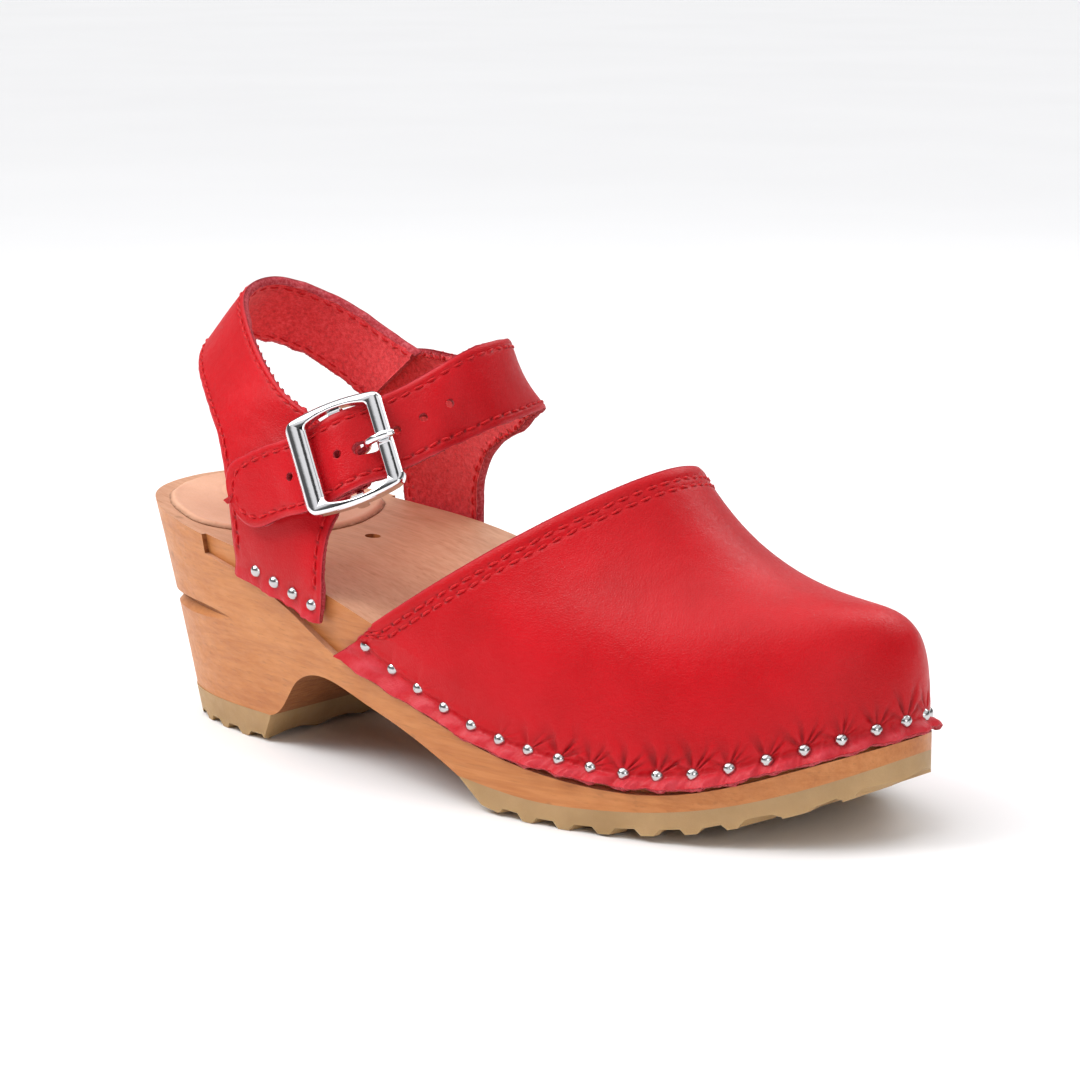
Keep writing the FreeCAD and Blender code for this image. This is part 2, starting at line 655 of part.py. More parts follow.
# ---- buckle --------------------------------------------------------------------------------
def buckle_frame():
    """Frame in its own axes: X along the strap, Y across, Z outward, Z 0 at the back of the bars."""
    half_x, half_y = BUCKLE_WIDTH / 2, BUCKLE_HEIGHT / 2
    outer = [Vector(-half_x, -half_y, 0), Vector(half_x, -half_y, 0), Vector(half_x, half_y, 0),
             Vector(-half_x, half_y, 0)]
    bottom = Part.Arc(outer[0], Vector(0, -half_y - BUCKLE_ARCH, 0), outer[1]).toShape()
    top = Part.Arc(outer[2], Vector(0, half_y + BUCKLE_ARCH, 0), outer[3]).toShape()
    wire = Part.Wire([bottom, Part.makeLine(outer[1], outer[2]), top, Part.makeLine(outer[3], outer[0])])
    body = Part.Face(wire).extrude(Vector(0, 0, BUCKLE_THICKNESS))
    corners = [e for e in body.Edges if abs(e.tangentAt(e.FirstParameter).z) > 0.99]
    body = body.makeFillet(3.0, corners)
    rims = [e for e in body.Edges if e.BoundBox.ZMin > BUCKLE_THICKNESS - 0.01]
    body = body.makeFillet(1.1, rims)
    low_x, high_x = -half_x + BUCKLE_LEFT_BAR, half_x - BUCKLE_RIGHT_BAR
    in_y = half_y - BUCKLE_RAIL
    inner = [Vector(low_x, -in_y, -1), Vector(high_x, -in_y, -1), Vector(high_x, in_y, -1),
             Vector(low_x, in_y, -1)]
    middle_x = (low_x + high_x) / 2
    bottom = Part.Arc(inner[0], Vector(middle_x, -in_y - BUCKLE_ARCH, -1), inner[1]).toShape()
    top = Part.Arc(inner[2], Vector(middle_x, in_y + BUCKLE_ARCH, -1), inner[3]).toShape()
    wire = Part.Wire([bottom, Part.makeLine(inner[1], inner[2]), top, Part.makeLine(inner[3], inner[0])])
    window = Part.Face(wire).extrude(Vector(0, 0, BUCKLE_THICKNESS + 2))
    window = window.makeFillet(1.4, [e for e in window.Edges if abs(e.tangentAt(e.FirstParameter).z) > 0.99])
    body = body.cut(window)
    inner_rims = [e for e in body.Edges
                  if e.BoundBox.ZMin > BUCKLE_THICKNESS - 0.01 and abs(e.CenterOfMass.x) < half_x - 3.4
                  and abs(e.CenterOfMass.y) < half_y - 0.8]
    body = body.makeFillet(0.7, inner_rims)
    reach = half_y + 0.6
    lugs = []
    for y in (-reach, reach - BUCKLE_RAIL):
        lugs.append(Part.makeBox(3.2, BUCKLE_RAIL, CENTRE_BAR_DEPTH + 0.6,
                                 Vector(-1.6, y, -CENTRE_BAR_DEPTH)))
        lugs.append(Part.makeCylinder(1.6, BUCKLE_RAIL, Vector(0, y, -CENTRE_BAR_DEPTH), Vector(0, 1, 0)))
    bar = Part.makeCylinder(CENTRE_BAR / 2, 2 * reach - 0.6, Vector(0, -reach + 0.3, -CENTRE_BAR_DEPTH),
                            Vector(0, 1, 0))
    return body.fuse(lugs + [bar]).removeSplitter()


def buckle_tongue():
    """Round tongue: an eye on the centre bar, a rise through the strap and a tip on the right bar."""
    bore = CENTRE_BAR / 2 + BAR_FIT
    eye = Part.makeCylinder(bore + 1.2, TONGUE_WIDTH, Vector(0, -TONGUE_WIDTH / 2, -CENTRE_BAR_DEPTH),
                            Vector(0, 1, 0))
    rest_z = BUCKLE_THICKNESS + TONGUE_WIDTH / 2 + 0.05
    path = [Vector(0.6, 0, -CENTRE_BAR_DEPTH + 1.2), Vector(4.2, 0, -1.7), Vector(5.9, 0, 0.3),
            Vector(6.6, 0, 2.4), Vector(8.2, 0, rest_z + 0.05), Vector(13.4, 0, rest_z + 0.05)]
    line = curve_edge(path)
    start = Part.Circle(path[0], line.tangentAt(line.FirstParameter), TONGUE_WIDTH / 2).toShape()
    arm = Part.Wire([line]).makePipeShell([Part.Wire([start])], True, False)
    tip = Part.makeSphere(TONGUE_WIDTH / 2, path[-1])
    tongue = eye.fuse([arm, tip])
    hole = Part.makeCylinder(bore, TONGUE_WIDTH + 2, Vector(0, -TONGUE_WIDTH / 2 - 1, -CENTRE_BAR_DEPTH),
                             Vector(0, 1, 0))
    return tongue.cut(hole)


def buckle_tab():
    """Leather folded round the centre bar, slotted for the tongue, sewn under the quarter."""
    bore = CENTRE_BAR / 2 + BAR_FIT
    outer = bore + TAB_LEATHER
    loop = Part.makeCylinder(outer, TAB_WIDTH, Vector(0, -TAB_WIDTH / 2, -CENTRE_BAR_DEPTH), Vector(0, 1, 0))
    tail = Part.makeBox(TAB_LENGTH, TAB_WIDTH, TAB_LEATHER,
                        Vector(-TAB_LENGTH, -TAB_WIDTH / 2, -CENTRE_BAR_DEPTH - outer))
    tail.rotate(Vector(0, 0, -CENTRE_BAR_DEPTH), Vector(0, 1, 0), -TAB_TILT)
    tab = loop.fuse(tail)
    tab = tab.cut(Part.makeCylinder(bore, TAB_WIDTH + 2, Vector(0, -TAB_WIDTH / 2 - 1, -CENTRE_BAR_DEPTH),
                                    Vector(0, 1, 0)))
    slot = Part.makeBox(12, TONGUE_WIDTH + 0.8, 12, Vector(-3.5, -TONGUE_WIDTH / 2 - 0.4, -8))
    return tab.cut(slot)


# ---- assembly ------------------------------------------------------------------------------
def build():
    nodes = {}
    grid = vamp_grid()
    quarter = evened(edge_grid(OUTER_QUARTER, 1), STRAP_STEP)
    strap = evened(edge_grid(INNER_QUARTER + strap_end_stations(), -1), STRAP_STEP)
    seats = {"vamp_nails": nail_seats(grid, vamp_nail_points()),
             "outer_quarter_nails": nail_seats(quarter, quarter_nail_points(OUTER_QUARTER)),
             "inner_quarter_nails": nail_seats(strap, quarter_nail_points(INNER_QUARTER))}
    recesses = {}
    for name, places in seats.items():
        nodes[name] = Part.makeCompound([nail(*place) for place in places])
        recesses[name] = Part.makeCompound([nail_recess(*place) for place in places])

    holes = [nail_hole(*place) for places in seats.values() for place in places]
    nodes["wooden_sole"] = wooden_sole().cut(Part.makeCompound(holes))
    nodes["heel_top_piece"] = heel_top_piece()
    nodes["forefoot_outsole"] = forefoot_outsole()
    nodes["heel_pad"] = heel_pad()
    nodes["vamp"] = sheet(grid, 0, VAMP_LEATHER).cut(recesses["vamp_nails"])
    nodes["topline_facing"] = topline_facing(grid)
    nodes["toe_puff"] = toe_puff(grid)
    outer, inner = (0, OUTER_LEATHER), (OUTER_LEATHER + 0.02, STRAP_THICKNESS)
    nodes["outer_quarter"] = sheet(quarter, *outer).cut(recesses["outer_quarter_nails"])
    nodes["outer_quarter_lining"] = sheet(quarter, *inner).cut(recesses["outer_quarter_nails"])
    punches = strap_hole_tools(strap) + [recesses["inner_quarter_nails"]]
    nodes["instep_strap"] = punch(sheet(strap, *outer), punches)
    nodes["instep_strap_lining"] = punch(sheet(strap, *inner), punches)

    place = frame_placement(Vector(*BUCKLE_CENTRE))
    for name, shape in (("buckle_frame", buckle_frame()), ("buckle_tongue", buckle_tongue()),
                        ("buckle_tab", buckle_tab())):
        shape.Placement = place
        nodes[name] = shape
    return nodes


def main():
    os.makedirs("parts", exist_ok=True)
    nodes = build()
    box = Part.makeCompound(list(nodes.values())).optimalBoundingBox(False, False)
    shift = Vector(-(box.XMin + box.XMax) / 2, -(box.YMin + box.YMax) / 2, -box.ZMin)
    for name, shape in nodes.items():
        shape.translate(shift)
        print(name, shape.isValid(), len(shape.Solids), round(shape.Volume, 1))
        shape.exportStep("parts/" + name + ".step")
    print("size", round(box.XLength, 2), round(box.YLength, 2), round(box.ZLength, 2))
    print("shift", shift)


main()
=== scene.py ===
"""Looks of the wooden clog: leather, thread, wood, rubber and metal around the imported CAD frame."""
import random
from math import cos, exp, pi, radians, sin

import bmesh
import bpy
import numpy as np
from mathutils import Matrix, Vector
from numpy.linalg import norm


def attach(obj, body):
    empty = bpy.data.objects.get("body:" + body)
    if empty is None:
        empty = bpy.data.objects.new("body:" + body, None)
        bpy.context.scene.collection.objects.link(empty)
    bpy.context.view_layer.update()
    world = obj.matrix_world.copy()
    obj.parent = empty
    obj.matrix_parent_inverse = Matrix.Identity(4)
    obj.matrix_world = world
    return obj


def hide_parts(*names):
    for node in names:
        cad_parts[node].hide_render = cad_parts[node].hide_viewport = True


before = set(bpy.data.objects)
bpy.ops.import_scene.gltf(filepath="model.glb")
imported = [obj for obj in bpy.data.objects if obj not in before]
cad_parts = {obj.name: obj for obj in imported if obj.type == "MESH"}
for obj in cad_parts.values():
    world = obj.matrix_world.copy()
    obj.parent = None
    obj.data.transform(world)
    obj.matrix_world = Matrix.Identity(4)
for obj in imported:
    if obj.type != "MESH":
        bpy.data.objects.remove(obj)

scene = bpy.context.scene
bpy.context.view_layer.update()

MM = 0.001

# ---- the part's own dimensions, mm ----------------------------------------------------------
RIM = np.array([(2, 0.5), (11, -24), (34, -36), (70, -41.5), (105, -44.5), (140, -45.3), (174, -42.6),
                (207, -33.3), (233, -13.5), (241.5, 6), (233.4, 22.5), (211, 38.2), (178.7, 45.2),
                (149, 45), (109, 43.5), (70, 40.5), (33, 35), (9, 23)], float)
TOE_KNOT = 9.3
RIM_HEIGHT = [(0, 63.2), (40, 56.4), (80, 50.5), (120, 38.7), (160, 25.5), (200, 22.7), (247, 37.5)]
SIDE_TAPER = [(40, 0.2), (80, 0.19), (120, 0.12), (160, 0.03), (200, 0)]
REBATE_DEPTH = [(44, 1.5), (100, 2.0), (160, 3.0), (200, 3.0)]
FOOTBED_DISH = [(10, 1.0), (40, 2.5), (75, 1.2), (120, 0.6), (180, 2.0), (235, 0.6)]
VAMP_LEATHER = 2.0
FIT_GAP = 0.3
VAMP_START = (98, 92)               # where its ends lie along the sole: near side, far side
VAMP_RIM_START = (111.5, 105.5)
TOPLINE_RISE = 1.0
VAMP_CREST = (173.8, -2.0, 83.6)
TOPLINE_POWER = 1.97
TOPLINE_PACE = 1.11
WALL_REACH = (28.0, 39.3)
DOME_REACH = (17.4, 62.8)
DOME_SLOPE = (47.8, 52.0)
WALL_LEAN = -0.04
MARGIN_DROP = [(90, 13.5), (110, 14), (140, 12.2), (175, 9.4), (247, 9.2)]
MARGIN_FLARE = 1.9
NAIL_ABOVE_EDGE = [(105, 8.0), (117, 5.6), (135, 3.8), (150, 3.3), (250, 3.3)]
VAMP_NAILS = 36
FIRST_NAIL = 10.5
NAIL_PITCH = 10.3
NEAR_SIDE, FAR_SIDE = (3, 5.5), (13.5, 15.5)    # spans of the outline's parameter
VAMP_STITCH_ROWS = (3.4, 5.6)
VAMP_STITCH = (4.1, 3.55)           # pitch and length
STRAP_STITCH = (3.9, 3.3)
STITCH_INSET = 2.4
STITCH_START = 7.0
PIT = 0.45
EDGE_RINGS, EDGE_BULGE = 3, 0.4
BAND_COLUMNS = 45
QUARTER_NAILS = (0.26, 0.91)
QUARTER_NAIL_RISE = (0.48, 0.42)
STRAP_THICKNESS = 2.4
# Stations along each strap: a point on one edge, a point on the other, how far it bows out between.
OUTER_QUARTER = [
    ((59.2, -40.4, 47.7), (92.4, -43.7, 39.4), 0.2),
    ((59.8, -42.1, 56), (94.2, -44.9, 49.0), 0.3),
    ((59.2, -42.6, 64), (93.8, -43.2, 59), 0.8),
    ((57, -41.6, 71.5), (95.2, -39.4, 68), 2.6),
    ((53.5, -39.6, 78), (98, -35.0, 78), 3.8),
    ((49, -36.8, 83), (88, -35.2, 88), 2.4),
    ((42.5, -32.8, 87.4), (77, -35.8, 93.5), 1.4),
    ((34.5, -27.2, 91.2), (66.5, -32.4, 97.8), 0.8),
    ((25.5, -20.3, 95), (53, -25.2, 104), 0.6),
    ((17.2, -12, 98.3), (40, -16.5, 111), 0.6),
    ((12.6, -2.5, 100.6), (29.8, -5.8, 117), 0.6),
    ((14.6, 7.5, 101), (29.2, 5.2, 119), 0.6),
    ((21.5, 15.2, 99), (35.2, 14, 116.4), 0.6),
    ((30, 21.4, 94.4), (45, 20.6, 111), 0.6),
    ((38.2, 25.6, 88.4), (56, 24.2, 104.2), 0.4),
    ((44.5, 27.2, 84), (66, 24.6, 99.8), 0.2),
]
INNER_QUARTER = [
    ((47.1, 38.4, 46.8), (73.4, 41.0, 42.6), 0.6),
    ((46.2, 39.4, 57), (72.4, 42.9, 52), 0.5),
    ((46.2, 38.4, 66), (74.6, 40.6, 62), 0.6),
    ((44.5, 35, 75.5), (81, 37.0, 71.2), 1.4),
    ((42, 31.2, 84), (88.4, 34.2, 76.8), 2.0),
    ((48.5, 29.6, 94), (97, 31, 80.4), 2.2),
    ((61, 28.2, 99.8), (103.5, 27.8, 84.6), 2.0),
    ((77, 26.6, 99.6), (109.6, 24, 87.8), 1.2),
    ((92, 22.8, 102.4), (115.4, 18.2, 90), 0.6),
    ((104, 16, 106.4), (120, 9.5, 90.8), 0.4),
    ((112, 6.5, 109), (122.6, -1.5, 90.2), 0.4),
    ((115, -5, 109.4), (122.2, -11, 88.8), 0.4),
    ((112.8, -16.4, 106.2), (118.4, -19, 85.6), 0.4),
]
STRAP_THROUGH_BUCKLE = [(21, 3.9, -4.5), (15, 2.5, -2.5), (11, 1.8, -1.2), (7.9, 1.5, -0.6),
                        (3.8, 1.1, 1.0), (0, 0.7, 1.7), (-3.8, 0.4, 1.0), (-7.2, 0.4, -0.6),
                        (-11, 0.5, -1.2), (-15.5, 0.7, -2.3)]
STRAP_TIP = [(80, -46.2, 75.2), (72, -46.4, 71.8), (63, -46.2, 68.5)]
STRAP_TIP_ACROSS = (-0.456, 0.02, 0.89)
STRAP_HALF_WIDTH = 10.2
STRAP_TIP_NARROWING = 1.0
STRAP_HOLE = 2.2
STRAP_HOLE_PITCH = 7.6
STRAP_HOLES = (-3, -2, -1, 1, 2, 3)
TIP_HOLE_STEP = 1.1
TONGUE_SLOT = (5.5, 2.6, 3.0)       # place, stretch and width
SLOT_EASE = 0.3
BUCKLE_CENTRE = (99.1, -40.15, 83.2)
BUCKLE_ALONG = (0.769, 0.525, 0.365)
BUCKLE_ACROSS = (-0.518, 0.177, 0.837)
CENTRE_BAR_DEPTH = 3.4
BUCKLE_HALF = (10.75, 11.5)         # to the middles of the side bars and of the rails
BAR_DOME_REACH = 2.2
BAR_DOME_RADIUS = 5.5
TAB_RADIUS, TAB_THICKNESS, TAB_HALF_WIDTH = 2.2, 1.1, 7.9
TAB_TAIL, TAB_WRAP, TAB_TILT = -14.8, 222, radians(6.8)
PAD_THICKNESS = 1.2
PAD_FRONT = 54.5
PAD_MARGIN = 4.5
PAD_CENTRE = (28.0, 0.5)
PAD_FRONT_RADIUS = 46.0
PAD_FRONT_SIDE = 5.0
PAD_UNDERSIDE = (0.95, 0.85, 0.7, 0.55, 0.4, 0.25, 0.12, 0)

# model.glb has the part centred and standing on the ground; this is that move, mm.
SHIFT = np.array((-122.44070629540585, 1.9971668700357057, 0.005267844576855201))


def to_frame(points):
    return (np.asarray(points, float) + SHIFT) * MM


def unit(v):
    return v / np.maximum(norm(v, axis=-1, keepdims=True), 1e-12)


def buckle_axes():
    direction = unit(np.array(BUCKLE_ALONG))
    outward = unit(np.cross(direction, np.array(BUCKLE_ACROSS)))
    return direction, unit(np.cross(outward, direction)), outward


# ---- curves ---------------------------------------------------------------------------------
def along(table, x):
    """Smooth curve through (x, value) points, held level past its ends."""
    xs = np.array([p[0] for p in table], float)
    vs = np.array([p[1] for p in table], float)
    last = len(xs) - 1
    after, before = np.minimum(np.arange(last + 1) + 1, last), np.maximum(np.arange(last + 1) - 1, 0)
    slopes = (vs[after] - vs[before]) / (xs[after] - xs[before])
    x = np.clip(np.asarray(x, float), xs[0], xs[-1])
    i = np.clip(np.searchsorted(xs, x, side="right") - 1, 0, last - 1)
    step = xs[i + 1] - xs[i]
    t = (x - xs[i]) / step
    value = (2 * t ** 3 - 3 * t ** 2 + 1) * vs[i] + (3 * t ** 2 - 2 * t ** 3) * vs[i + 1]
    return value + step * ((t ** 3 - 2 * t ** 2 + t) * slopes[i] + (t ** 3 - t ** 2) * slopes[i + 1])


def outline(t):
    """Points of the rim outline in plan and the outward directions, for an array of parameters."""
    t = np.asarray(t, float)
    i = np.floor(t).astype(int)
    f = (t - i)[..., None]
    a, b, c, d = [RIM[(i + k) % len(RIM)] for k in (-1, 0, 1, 2)]
    square, cube = a * 2 - b * 5 + c * 4 - d, b * 3 - a - c * 3 + d
    point = (b * 2 + (c - a) * f + square * f ** 2 + cube * f ** 3) / 2
    tangent = (c - a) + square * (2 * f) + cube * (3 * f * f)
    out = np.stack([tangent[..., 1], -tangent[..., 0]], -1)
    return point, out / norm(out, axis=-1, keepdims=True)


def side(t, z, proud=0.0):
    """Points on the side of the sole at parameters t and heights z, moved outward by proud."""
    point, out = outline(t)
    grow = along(SIDE_TAPER, point[..., 0]) * (z - along(RIM_HEIGHT, point[..., 0])) + proud
    xy = point + out * np.asarray(grow)[..., None]
    return np.concatenate([xy, np.broadcast_to(np.asarray(z, float)[..., None], xy[..., :1].shape)], -1)


def parameter_at(x, low_t, high_t):
    fine = np.linspace(low_t, high_t, 4001)
    return float(fine[np.argmin(abs(outline(fine)[0][:, 0] - x))])


def run_along(points):
    """Distance along a line of points."""
    return np.concatenate([[0], np.cumsum(norm(np.diff(points, axis=0), axis=1))])


def spaced(low_t, high_t, count):
    """Parameters from low to high at equal distances along the outline."""
    fine = np.linspace(low_t, high_t, 4001)
    run = run_along(outline(fine)[0])
    return np.interp(np.linspace(0, run[-1], count), run, fine)


def spline(knots, values, at):
    """Natural cubic spline through rows of values."""
    knots, values = np.asarray(knots, float), np.asarray(values, float)
    n = len(knots)
    h = np.diff(knots)
    system = np.eye(n)
    right = np.zeros_like(values)
    for i in range(1, n - 1):
        system[i, i - 1:i + 2] = h[i - 1], 2 * (h[i - 1] + h[i]), h[i]
        right[i] = 6 * ((values[i + 1] - values[i]) / h[i] - (values[i] - values[i - 1]) / h[i - 1])
    bend = np.linalg.solve(system, right.reshape(n, -1)).reshape(values.shape)
    i = np.clip(np.searchsorted(knots, at, side="right") - 1, 0, n - 2)
    shape = (-1,) + (1,) * (values.ndim - 1)
    a = ((knots[i + 1] - at) / h[i]).reshape(shape)
    b = 1 - a
    hh = (h[i] ** 2 / 6).reshape(shape)
    return a * values[i] + b * values[i + 1] + ((a ** 3 - a) * bend[i] + (b ** 3 - b) * bend[i + 1]) * hh


def bell(x, width):
    return np.exp(-(x / width) ** 2)


def lattice(seed, u, v):
    """Smooth noise between -1 and 1 on a unit lattice."""
    size = 97
    table = np.random.default_rng(seed).uniform(-1, 1, (size, size))
    i, j = np.floor(u).astype(int), np.floor(v).astype(int)
    f, g = u - i, v - j
    f, g = f * f * (3 - 2 * f), g * g * (3 - 2 * g)
    at = lambda a, b: table[(i + a) % size, (j + b) % size]
    return (at(0, 0) * (1 - f) + at(1, 0) * f) * (1 - g) + (at(0, 1) * (1 - f) + at(1, 1) * f) * g


def on_rows(values, lengths, line):
    """Values of a grid at (row, length along the row) places."""
    return np.array([[np.interp(place, lengths[i], values[i, :, c]) for c in range(3)] for i, place in line])


def grid_normals(grid):
    across = np.gradient(grid, axis=0)
    up = np.gradient(grid, axis=1)
    return unit(np.cross(across, up))


# ---- materials ------------------------------------------------------------------------------
def fill_ramp(ramp, stops):
    """Stops of (position, colour or grey level)."""
    while len(ramp.elements) < len(stops):
        ramp.elements.new(0.5)
    for element, (position, colour) in zip(ramp.elements, stops):
        element.position = position
        element.color = (*(colour if isinstance(colour, tuple) else (colour,) * 3), 1)


class Shade:
    """A node material being built; links go in by name."""

    def __init__(self, name, **constants):
        self.material = bpy.data.materials.new(name)
        self.material.use_nodes = True
        self.tree = self.material.node_tree
        self.shader = self.tree.nodes["Principled BSDF"]
        for key, value in constants.items():
            self.shader.inputs[key.replace("_", " ")].default_value = value
        self.place = self.add("ShaderNodeTexCoord").outputs["Object"]

    def add(self, kind, **settings):
        node = self.tree.nodes.new(kind)
        for key, value in settings.items():
            setattr(node, key, value)
        return node

    def put(self, node, socket, value):
        if isinstance(value, bpy.types.NodeSocket):
            self.tree.links.new(value, node.inputs[socket])
        else:
            node.inputs[socket].default_value = value

    def scaled(self, scale):
        node = self.add("ShaderNodeMapping")
        self.put(node, "Vector", self.place)
        node.inputs["Scale"].default_value = scale
        return node.outputs["Vector"]

    def noise(self, scale, detail=3.0, rough=0.55, stretch=(1, 1, 1), distortion=0.0):
        node = self.add("ShaderNodeTexNoise")
        self.put(node, "Vector", self.scaled(stretch))
        values = (scale, detail, rough, distortion)
        for key, value in zip(("Scale", "Detail", "Roughness", "Distortion"), values):
            self.put(node, key, value)
        return node.outputs["Fac"]

    def cells(self, scale, feature="DISTANCE_TO_EDGE"):
        node = self.add("ShaderNodeTexVoronoi", feature=feature)
        self.put(node, "Vector", self.place)
        self.put(node, "Scale", scale)
        return node.outputs["Distance"]

    def ramp(self, value, stops):
        node = self.add("ShaderNodeValToRGB")
        fill_ramp(node.color_ramp, stops)
        self.put(node, "Fac", value)
        return node.outputs["Color"]

    def mix(self, share, a, b):
        node = self.add("ShaderNodeMix", data_type="RGBA")
        self.put(node, 0, share)
        for socket, value in ((6, a), (7, b)):
            self.put(node, socket, (*value, 1) if isinstance(value, tuple) else value)
        return node.outputs[2]

    def maths(self, operation, a, b=0.0):
        node = self.add("ShaderNodeMath", operation=operation)
        self.put(node, 0, a)
        self.put(node, 1, b)
        return node.outputs[0]

    def times(self, a, b):
        return self.maths("MULTIPLY", a, b)

    def attribute(self, name):
        return self.add("ShaderNodeAttribute", attribute_name=name).outputs["Fac"]

    def bump(self, layers):
        """Layers of (height, depth in metres), laid over one another."""
        normal = None
        for height, depth in layers:
            node = self.add("ShaderNodeBump")
            self.put(node, "Height", height)
            node.inputs["Strength"].default_value = 1.0
            node.inputs["Distance"].default_value = depth
            if normal is not None:
                self.put(node, "Normal", normal)
            normal = node.outputs["Normal"]
        self.put(self.shader, "Normal", normal)

    def colour(self, socket):
        self.put(self.shader, "Base Color", socket)

    def rough(self, socket):
        self.put(self.shader, "Roughness", socket)


def red_leather():
    m = Shade("red_leather", IOR=1.47, Specular_IOR_Level=0.24)
    base = m.ramp(m.noise(45, 4), [(0.3, (0.44, 0.0010, 0.0045)), (0.7, (0.54, 0.0018, 0.0075))])
    # pale pink by the first mask: partly rubbed wear, partly a painted highlight on margins and ridges that
    # face up to the light
    wear_and_highlight = m.times(m.attribute("wear_and_highlight"), m.ramp(m.noise(420, 4, 0.7), [(0.3, 0.35), (0.7, 0.9)]))
    body = m.mix(wear_and_highlight, base, (0.60, 0.055, 0.075))
    # painted shade: near black in the fold creases and needle holes that the mesh attribute marks
    m.colour(m.mix(m.attribute("painted_shade"), body, (0.10, 0.001, 0.002)))
    m.rough(m.ramp(m.noise(900, 2), [(0.3, 0.36), (0.75, 0.48)]))
    grain = m.ramp(m.cells(1500), [(0.0, 0.0), (0.22, 1.0)])
    m.bump([(grain, 0.00003), (m.noise(700, 4, 0.6), 0.00006), (m.noise(120, 3), 0.0003)])
    return m.material


def red_suede():
    m = Shade("red_suede", Sheen_Weight=0.35, Sheen_Roughness=0.5)
    m.shader.inputs["Sheen Tint"].default_value = (1, 0.6, 0.6, 1)
    m.colour(m.ramp(m.noise(900, 6, 0.75), [(0.3, (0.50, 0.010, 0.017)), (0.5, (0.80, 0.026, 0.036)),
                                            (0.72, (0.95, 0.10, 0.11))]))
    m.rough(m.ramp(m.noise(300, 3), [(0.3, 0.85), (0.7, 0.98)]))
    m.bump([(m.noise(1600, 6, 0.8), 0.00035), (m.noise(260, 3), 0.0004)])
    return m.material


def red_edge():
    m = Shade("red_leather_edge")
    m.colour(m.ramp(m.noise(1100, 5, 0.75), [(0.32, (0.36, 0.012, 0.022)), (0.5, (0.55, 0.045, 0.06)),
                                             (0.7, (0.70, 0.17, 0.19))]))
    m.rough(m.ramp(m.noise(500, 2), [(0.3, 0.8), (0.7, 0.95)]))
    m.bump([(m.noise(2200, 5, 0.8), 0.0004)])
    return m.material


def red_thread():
    m = Shade("red_thread", Sheen_Weight=0.05, Specular_IOR_Level=0.25)
    twist = m.noise(2600, 2, 0.5, (1, 1, 1), 1.0)
    m.colour(m.ramp(twist, [(0.35, (0.44, 0.001, 0.004)), (0.65, (0.72, 0.004, 0.009))]))
    m.rough(m.ramp(m.noise(900, 2), [(0.3, 0.45), (0.7, 0.6)]))
    m.bump([(twist, 0.0002)])
    return m.material


def sole_wood():
    m = Shade("sole_wood", Coat_Weight=0.08, Coat_Roughness=0.35, Specular_IOR_Level=0.35)
    streak = m.noise(60, 6, 0.62, (0.35, 3.2, 3.2), 0.6)
    fine = m.noise(500, 4, 0.6, (0.09, 1.6, 1.6))
    pores = m.noise(900, 2, 0.5, (0.07, 1.5, 1.5))
    rings = m.noise(26, 3, 0.5, (0.16, 1.4, 5.0), 1.2)
    flank = m.ramp(streak, [(0.25, (0.45, 0.145, 0.038)), (0.5, (0.54, 0.200, 0.056)),
                            (0.75, (0.61, 0.245, 0.080))])
    flank = m.mix(0.25, flank, m.ramp(fine, [(0.35, (0.39, 0.12, 0.032)), (0.65, (0.64, 0.28, 0.10))]))
    flank = m.mix(m.ramp(rings, [(0.50, 0.0), (0.56, 0.25), (0.62, 0.0)]), flank, (0.36, 0.11, 0.03))
    top = m.ramp(streak, [(0.25, (0.49, 0.235, 0.130)), (0.75, (0.62, 0.33, 0.195))])
    top = m.mix(0.3, top, m.ramp(fine, [(0.35, (0.46, 0.22, 0.12)), (0.65, (0.74, 0.46, 0.31))]))
    facing = m.add("ShaderNodeSeparateXYZ")
    m.put(facing, 0, m.add("ShaderNodeNewGeometry").outputs["Normal"])
    place = m.add("ShaderNodeSeparateXYZ")
    m.put(place, 0, m.place)
    upward = m.ramp(facing.outputs["Z"], [(0.55, 0.0), (0.85, 1.0)])
    body = m.mix(upward, flank, top)
    body = m.mix(m.ramp(pores, [(0.60, 0.0), (0.72, 0.35)]), body, (0.30, 0.11, 0.035))
    # sawn across the grain under the arch: darker and rough
    downward = m.ramp(m.times(facing.outputs["Z"], -1.0), [(0.25, 0.0), (0.6, 1.0)])
    forward = m.ramp(facing.outputs["X"], [(0.45, 0.0), (0.7, 1.0)])
    behind = m.ramp(m.times(place.outputs["X"], -10.0), [(0.0, 0.0), (0.2, 1.0)])
    sawn = m.maths("MAXIMUM", downward, m.times(forward, behind))
    saw = m.noise(1400, 4, 0.7, (1, 0.15, 1))
    body = m.mix(sawn, body, m.ramp(saw, [(0.3, (0.20, 0.058, 0.012)), (0.7, (0.37, 0.13, 0.034))]))
    specks = m.ramp(m.cells(60, "F1"), [(0.05, 1.0), (0.09, 0.0)])
    m.colour(m.mix(m.times(specks, 0.4), body, (0.22, 0.10, 0.04)))
    m.rough(m.mix(sawn, m.ramp(m.noise(300, 3), [(0.3, 0.42), (0.7, 0.56)]), (0.85, 0.85, 0.85)))
    m.bump([(pores, 0.00012), (fine, 0.00008), (m.times(saw, sawn), 0.0008)])
    return m.material


def honey_rubber():
    m = Shade("honey_rubber", Subsurface_Weight=0.25, Subsurface_Scale=0.006)
    m.shader.inputs["Subsurface Radius"].default_value = (1.0, 0.7, 0.35)
    m.colour(m.ramp(m.noise(70, 4), [(0.3, (0.36, 0.215, 0.088)), (0.7, (0.47, 0.295, 0.135))]))
    m.rough(m.ramp(m.noise(400, 3), [(0.3, 0.5), (0.7, 0.66)]))
    m.bump([(m.noise(900, 4, 0.7), 0.00015)])
    return m.material


